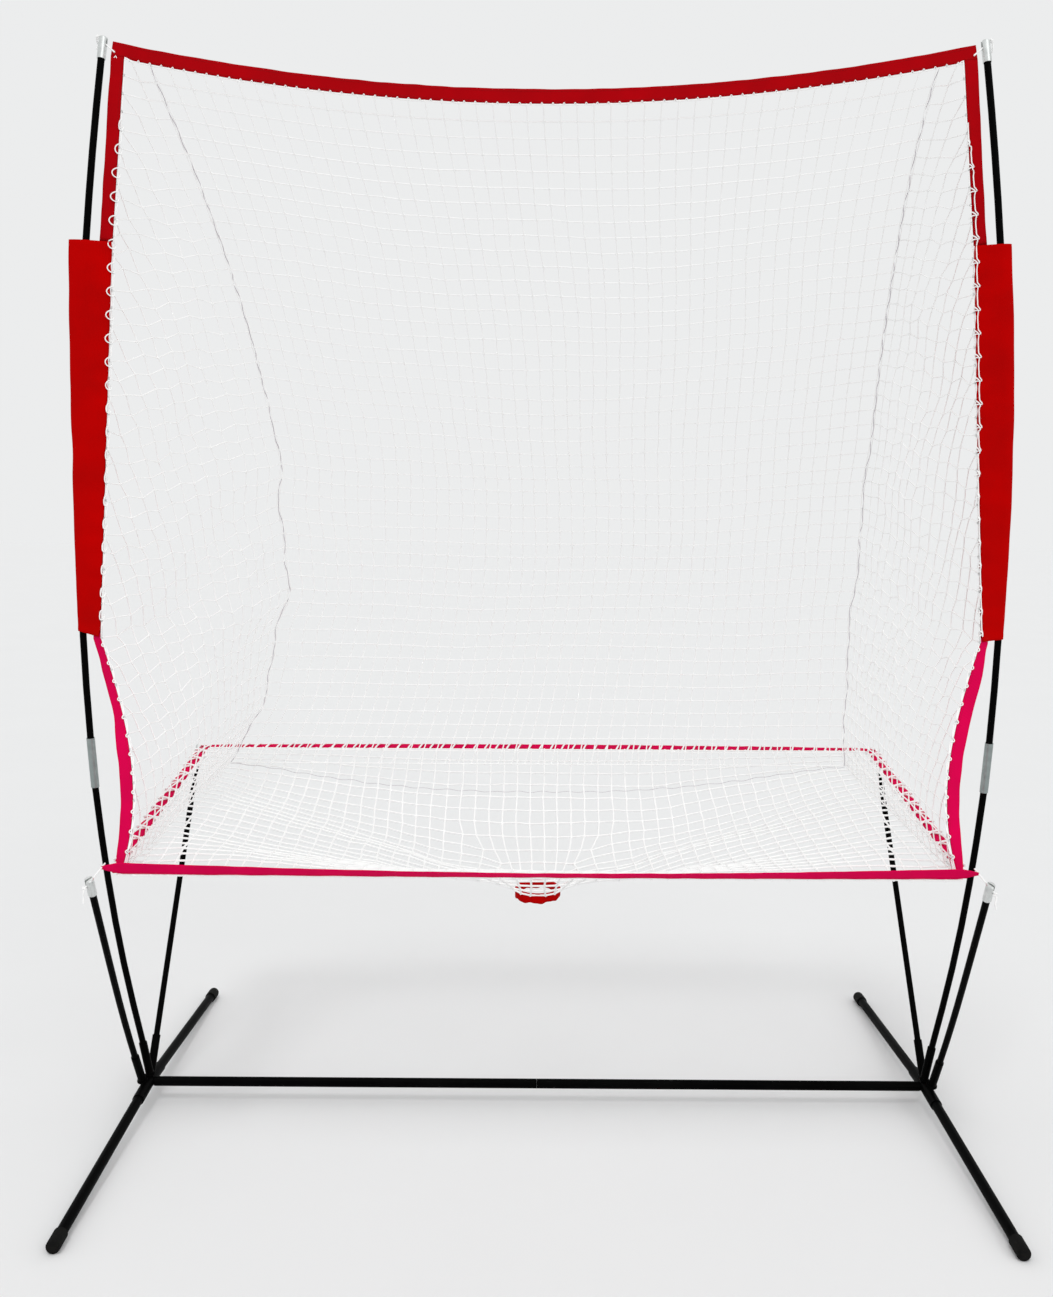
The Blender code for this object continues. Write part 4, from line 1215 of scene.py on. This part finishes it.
# %% [markdown]
# ## Lacing
# White cord ties the net's edge cord to the bands. It is one long cord, hitched every 47 mm.
# Each hitch is the same small loop, so it is drawn once, in millimetres along the edge, out
# over the band and up from it, and repeated. Left and right were laced by different hands:
# open loops on the left, and knots with a straight run between them on the right.

# %% Lacing
LACE_D = 0.0025
LOOP_HITCH = (
    (0, -2, 2), (2, 2, 4.0), (5, 7.5, 4.5), (11, 10.5, 4.5), (17, 7.5, 4.5), (20, 2, 4.0),
    (20, -3, 0), (14, -4.5, -3), (10, -2, -3.5), (18, -3.5, -2), (32, -2.5, 1),
)
KNOT_HITCH = (
    (0, 8, 4.4), (11, 7, 4.0), (23, 7.5, 4.0), (33, 8, 4.4), (38, 11.5, 5.6), (41, 12, 4.8),
    (41, 4, 4.6), (44, -3, 2), (46, -4, -2), (41, 0, -4), (36, 4, -3.4),
    (34, 1, 2.5), (37, 4.5, 6.0), (41, 8, 6.4), (45, 8.5, 5.4),
)
WHIP_HITCH = (
    (0, -1, 1.5), (3, 2.6, 2.9), (6, 3.2, 2.9), (9, 0, 2.2), (11, -2.6, -1), (16, -2.8, -1.5),
    (30, -2.4, 0),
)
WHIP_PITCH = 0.040
WHIP_D = 0.0018
TOP_HITCH = (
    (0, -3, 0), (3, -1.5, 1.8), (5, 1.6, 2.2), (7, -1.5, 1.8), (9, -3.4, 0), (7, -1.5, -1.8),
    (5, 1.6, -2.2), (9, -2.6, -1.8), (16, -3.2, 0),
)
TOP_WHIP_PITCH = 0.0226


def hitched(curve, line, first, last, hitch, pitch, reach_at=lambda distance: 1.0):
    """Repeats a hitch along a line; line(distance) gives a point, the ways out and forward."""
    points = []
    for turn in range(int((last - first) / pitch)):
        reach = reach_at(first + turn * pitch)
        for along, out, up in hitch:
            point, outward, facing = line(first + turn * pitch + along / 1000)
            out *= reach if out > 0 else 1.0
            points.append(point + outward * (out / 1000) + facing * (up / 1000))
    lay_smooth(curve, points, steps=2)


def edge_line(side):
    """The net's edge, with the ways out over the band, and over the sleeve where it has one."""
    def line(distance):
        t = edge_at(distance)
        point = on_side(front_edge(t), side)
        if UPPER_END < t < STRAIGHT_SHARE:
            _, inboard, facing, _ = sleeve_frame(side, point.z)
            return point, -inboard, facing
        return point, on_side(edge_outward(t), side), FACING

    return line


LACING_START = 0.122
LACING_GROWS = 0.10
LACING_SHRINKS = 0.16
LOOPS_TO = 0.56
KNOTS_TO = 0.66
DRAWN_TIGHT = 0.22


def reach_until(last):
    """Lacing that starts small, opens to full size and is drawn tight past a distance."""
    def reach(distance):
        grown = min(1.0, DRAWN_TIGHT + (distance - LACING_START) / LACING_GROWS)
        drawn = min(1.0, max(0.0, (distance - last) / LACING_SHRINKS))
        return grown * (1.0 - (1.0 - DRAWN_TIGHT) * drawn)

    return reach


sleeve_foot_at = ruler(front_edge, 0.0, STRAIGHT_SHARE)[0]
LACED = (
    ("left", -1, LOOP_HITCH, reach_until(LOOPS_TO)),
    ("right", 1, KNOT_HITCH, reach_until(KNOTS_TO)),
)
for label, side, hitch, reach_at in LACED:
    lace = new_yarn(f"edge_lacing_{label}", LACE_D, CORD, 1)
    hitched(lace, edge_line(side), LACING_START, sleeve_foot_at, hitch, LACING_PITCH, reach_at)
    hitched(lace, edge_line(side), sleeve_foot_at + 0.012, edge_length, WHIP_HITCH, WHIP_PITCH)
    keep(f"edge_lacing_{label}", lace, "white_cord")
    edge = new_yarn(f"edge_cord_{label}", EDGE_CORD_D, TWINE, 1)
    stations = 120
    lay_straight(edge, [on_side(front_edge(step / stations), side) for step in range(stations + 1)])
    edge_cord = keep(f"edge_cord_{label}", edge, "white_net")
    declare_net(side_nets[label], side_lattices[label], seam_length)
print("hitches a side:", int((sleeve_foot_at - LACING_START) / LACING_PITCH))


def top_line(distance):
    inner, outward, facing, _ = top_station(distance / top_length)
    return inner, outward, facing


top_lace = new_yarn("top_whipping", WHIP_D, CORD, 1)
hitched(top_lace, top_line, SEW_INSET, top_length - SEW_INSET, TOP_HITCH, TOP_WHIP_PITCH)
keep("top_whipping", top_lace, "white_cord")

# %% [markdown]
# ## Cross lacing round the tray
# A thick cord winds round the tray's rear tape, and round its side tapes in both directions, so
# that the turns cross on top. Each direction is a helix squeezed flat to the tape's section.

# %% Cross lacing round the tray
CROSS_D = 0.0046
CROSSED = (
    ("tray_tape_rear", 0.0287, (-1,)),
    ("tray_tape_left", 0.062, (1, -1)),
    ("tray_tape_right", 0.062, (1, -1)),
)
CROSS_GAP = 0.0012
CROSS_OVERHANG = 0.0025
CORNER_FREE = 0.045


def wound(curve, station, length, layer, hand, pitch):
    """A flat helix round a tape; the second layer lies on the first and crosses it on top."""
    turns = (length - CORNER_FREE) / pitch
    lift = FOLD_R + CLOTH_GAUGE / 2 + CROSS_D / 2 + CROSS_GAP + CROSS_D * layer
    points = []
    steps = round(turns * 8)
    for step in range(steps + 1):
        u = (CORNER_FREE + (length - CORNER_FREE) * step / steps) / length
        inner, outward, facing, tape = station(u)
        angle = 2 * math.pi * hand * turns * step / steps + math.pi * layer
        middle = inner + outward * (tape / 2 - 0.002)
        height = math.sin(angle)
        height = math.copysign(abs(height) ** 0.6, height)
        sideways = math.cos(angle) * (tape / 2 + CROSS_OVERHANG + CROSS_D * layer * 0.65)
        points.append(middle + outward * sideways + facing * lift * height)
    lay_smooth(curve, points, steps=2)


for name, pitch, hands in CROSSED:
    station, length = next(row[2:] for row in TRAY_TAPES if row[0] == name)
    lace = new_yarn(f"{name}_lacing", CROSS_D, CORD, 1)
    for layer, hand in enumerate(hands):
        wound(lace, station, length, layer, hand, pitch)
    keep(f"{name}_lacing", lace, "white_cord")
print("cross lacing done")

# %% [markdown]
# ## Seams
# A grey thread joins each side panel to the back, and the back to the tray. It winds round the
# two edge twines in a long, open spiral, and strays with them where the net hangs slack.

# %% Seams
SEAM_THREAD_D = 0.0015
SEAM_PITCH = 0.060
SEAM_REACH = 0.0014
SEAM_WANDER = 0.0022


def spiral_along(curve, line, length, at, first_way, second_way):
    """A thread that winds loosely round a line, in the plane of two directions."""
    steps = round(length / SEAM_PITCH * 6)
    points = []
    for step in range(steps + 1):
        angle = 2 * math.pi * step / 6
        middle = line(at(length * step / steps))
        middle += wander(middle, 0.05, SEAM_WANDER)
        turn = first_way * math.cos(angle) + second_way * math.sin(angle)
        points.append(middle + turn * SEAM_REACH)
    lay_smooth(curve, points, steps=2)


def swayed_seam(side):
    def line(t):
        point = on_side(seam(t), side)
        point.x += seam_sway(side, t) + net_lean(t)
        return point

    return line


WAYS = Matrix.Identity(3)
for label, side in SIDES:
    thread = new_yarn(f"seam_{label}", SEAM_THREAD_D, SEAM_THREAD, 1)
    spiral_along(thread, swayed_seam(side), seam_length, seam_at, WAYS[0], WAYS[1])
    keep(f"seam_{label}", thread, "white_cord")


def foot_line(t):
    x = seam_foot().x * (2 * t - 1)
    y = tray_y(BACK_FOOT_SHARE)
    return Vector((x, y, tray_height(x, y) + FOOT_GAP / 2))


foot_length, foot_at = ruler(foot_line)
foot_thread = new_yarn("seam_foot", SEAM_THREAD_D * 0.7, SEAM_THREAD, 1)
spiral_along(foot_thread, foot_line, foot_length, foot_at, WAYS[1], WAYS[2])
keep("seam_foot", foot_thread, "white_cord")
print("seams", round(2 * seam_length + foot_length, 2), "m")

# %% [markdown]
# ## Outlet ring
# A strip of red cloth is folded over a rope ring and hangs as a short collar, with the rope in
# the fold. The lower edge is cut by hand, so it waves. The rope is three strands twisted
# together, each a helix bent into a circle.

# %% Outlet ring
COLLAR_HEIGHT = 0.024
COLLAR_WALL = 0.0026
COLLAR_SKEW = 0.0030
COLLAR_WAVE = 0.0016
LONG_SIDE = math.radians(235)
HOOP_D = 0.0045
HOOP_DROP = 0.0050
TUNNEL = 0.0040
STRANDS = 3
HOOP_TURNS = 22


def collar_place(u, v):
    bearing = 2 * math.pi * u
    way = Vector((math.cos(bearing), math.sin(bearing), 0.0))
    outer = COLLAR_R - CLOTH_GAUGE / 2
    inner = COLLAR_R - COLLAR_WALL + CLOTH_GAUGE / 2
    middle, half = (outer + inner) / 2, (outer - inner) / 2
    share = abs(2 * v - 1) ** FOLD_CROWDING
    wave = COLLAR_WAVE * (math.sin(8 * bearing + 0.7) + 0.4 * math.sin(17 * bearing))
    drop = (COLLAR_HEIGHT * 0.86 + COLLAR_SKEW * math.cos(bearing - LONG_SIDE) + wave) * share
    lift = half * min(1.0, math.sqrt(max(0.0, drop) / 0.002))
    sway = 0.0008 * noise.noise(Vector((way.x, way.y, drop * 20)) * 2.5)
    bulge = TUNNEL * math.sqrt(max(0.0, 1.0 - (drop / HOOP_DROP - 1.0) ** 2))
    radius = middle + sway * share + (lift if v < 0.5 else -lift - bulge)
    return RING + way * radius - Vector((0.0, 0.0, drop))


collar_girth = 2 * math.pi * (COLLAR_R - COLLAR_WALL / 2)
collar_cloth = cloth("collar", 96, 16, collar_place, (collar_girth, 2 * COLLAR_HEIGHT),
                     SLEEVE_RED, CLOTH_GAUGE, joined=True)
collar = keep_cloth("collar", collar_cloth, "red_cloth", "outlet_collar")
rope = new_yarn("outlet_rope", HOOP_D * 0.52, CORD, 1)
hoop_r = COLLAR_R - CLOTH_GAUGE - HOOP_D / 2 - 0.0003
for strand in range(STRANDS):
    points = []
    for step in range(HOOP_TURNS * 8):
        bearing = 2 * math.pi * step / (HOOP_TURNS * 8)
        twist = HOOP_TURNS * bearing + 2 * math.pi * strand / STRANDS
        radius = hoop_r + HOOP_D * 0.25 * math.cos(twist)
        points.append(RING + Vector((radius * math.cos(bearing), radius * math.sin(bearing),
                                     HOOP_D * 0.25 * math.sin(twist) - HOOP_DROP)))
    lay_smooth(rope, points, closed=True, steps=2)
rope_ring = keep("outlet_rope", rope, "white_cord", "outlet_hoop")
print("collar", round(collar_girth, 3), "m round")

# %% [markdown]
# ## Ties
# At each of its six corners the net ends in a short cord that runs through the forked tip of a
# pole to a knot behind it. The knot is a trefoil curve pulled small, which is the shape an
# overhand knot has, and a short tail hangs from it.

# %% Ties
TIE_D = 0.0034
TIE_SEWN = 0.012
KNOT_SCALE = 0.00125
TAIL = 0.026
TIP_R = 0.0088
TIP_REACH = 0.026
TIP_FORK = 0.019
KNOT_D = 0.009
FRONT_BELLY = Vector((0.893, -0.245, 0.400))
FRONT_END = Vector((0.880, -0.387, 0.632))
REAR_SEAT = HUB + Vector((0.000, 0.025, 0.026))
REAR_END = Vector((0.895, 0.486, 0.716))


def tape_end(corner, way, tilt):
    lean = Vector((0.0, way * math.cos(tilt), math.sin(tilt)))
    return corner + Vector((EDGE_SEAT + TAPE_WIDTH, 0.0, 0.0)) + lean * (TAPE_SEAT + TAPE_WIDTH / 2)


TIES = {
    "main": (TOP_CORNER - Vector((0.0, 0.0, TOP_WIDTH / 2)), MAIN_END, MAIN_END - MAIN_BELLY),
    "front": (tape_end(TRAY_FRONT, -1, math.radians(70)), FRONT_END, FRONT_END - FRONT_BELLY),
    "rear": (tape_end(TRAY_REAR, 1, REAR_LEANS[0]), REAR_END, REAR_END - REAR_SEAT),
}


def trefoil(middle, run, side_way):
    points = []
    up = run.cross(side_way).normalized()
    for step in range(24):
        t = 2 * math.pi * step / 24
        a = math.sin(t) + 2 * math.sin(2 * t)
        b = math.cos(t) - 2 * math.cos(2 * t)
        c = -math.sin(3 * t)
        points.append(middle + (up * a + side_way * b + run * c * 1.2) * KNOT_SCALE)
    return points


for pole, (corner, end, aim) in TIES.items():
    for label, side in SIDES:
        axis = on_side(aim.normalized(), side)
        start = on_side(corner, side)
        through = on_side(end, side) + axis * (TIP_REACH - TIP_FORK / 2)
        run = (through - start).normalized()
        slant = run.cross(axis).length
        knot = through + run * (TIP_R + 0.0003 + KNOT_D / 2) / slant
        tie = new_yarn(f"{pole}_tie_{label}", TIE_D, CORD, 1)
        lay_smooth(tie, [start - run * TIE_SEWN, start, start.lerp(knot, 0.5), knot])
        side_way = run.cross(Vector((0.0, 0.0, 1.0))).normalized()
        lay_smooth(tie, trefoil(knot, run, side_way), closed=True)
        down = Vector((0.0, 0.0, -1.0))
        lay_smooth(tie, [knot, knot + run * 0.004 + down * 0.006,
                         knot + run * 0.003 + down * TAIL * 0.6 + side_way * 0.003,
                         knot + run * 0.005 + down * TAIL])
        keep(f"{pole}_tie_{label}", tie, "white_cord")
print("ties:", 2 * len(TIES))

# %% [markdown]
# ## Weld beads
# Each hub is two short sleeves and three pole sockets, welded into one. A weld bead runs where
# two tubes meet, so its line is found and not drawn: from each bearing round a socket, a
# point slides along the socket until it leaves the sleeves.

# %% Weld beads
BEAD_D = 0.0050
BEAD_BUMP = 0.0005
BEAD_POINTS = 36
HUB_R = 0.0131
HUB_SLEEVE = 0.085
FOOT_AXIS = 0.0129
LEG_REACH = 0.600
SOCKET_R = 0.0092
SOCKET_ROOT = 0.014
FRONT_SEAT = HUB + Vector((0.010, -0.026, 0.024))
FRONT_AIM = Vector((0.030, -0.530, 1.000))
SOCKETS = (
    (HUB + MAIN_SEAT, MAIN_AIM),
    (FRONT_SEAT, FRONT_AIM),
    (REAR_SEAT, REAR_END - REAR_SEAT),
)


def off_segment(point, start, end):
    run = end - start
    share = min(1.0, max(0.0, (point - start).dot(run) / run.length_squared))
    return (point - start - run * share).length


def off_sleeves(point):
    fall = (HUB.z - FOOT_AXIS) / LEG_REACH
    ends = (HUB + Vector((0.0, end * HUB_SLEEVE, -HUB_SLEEVE * fall)) for end in (-1, 1))
    return min(off_segment(point, HUB, end) for end in ends)


def bead_line(seat, aim):
    """The line on a socket's surface where it leaves the hub's sleeves."""
    axis = aim.normalized()
    first_way = axis.orthogonal().normalized()
    second_way = axis.cross(first_way)
    points = []
    for step in range(BEAD_POINTS):
        bearing = 2 * math.pi * step / BEAD_POINTS
        way = first_way * math.cos(bearing) + second_way * math.sin(bearing)
        low, high = -SOCKET_ROOT, SOCKET_DEPTH
        for _ in range(30):
            middle = (low + high) / 2
            if off_sleeves(seat + way * SOCKET_R + axis * middle) < HUB_R:
                low = middle
            else:
                high = middle
        points.append(seat + way * (SOCKET_R + BEAD_BUMP * (step % 2)) + axis * low)
    return points


for label, side in SIDES:
    bead = new_yarn(f"weld_beads_{label}", BEAD_D, POWDER, 1)
    for seat, aim in SOCKETS:
        lay_smooth(bead, [on_side(point, side) for point in bead_line(seat, aim)], closed=True, steps=2)
    ring = []
    for step in range(BEAD_POINTS):
        bearing = 2 * math.pi * step / BEAD_POINTS
        way = Vector((math.cos(bearing), 0.0, math.sin(bearing)))
        ring.append(on_side(HUB + way * (HUB_R - BEAD_D / 4 + BEAD_BUMP * (step % 2)), side))
    lay_smooth(bead, ring, closed=True, steps=2)
    keep(f"weld_beads_{label}", bead, "black_steel")
print("weld beads a hub:", len(SOCKETS) + 1)
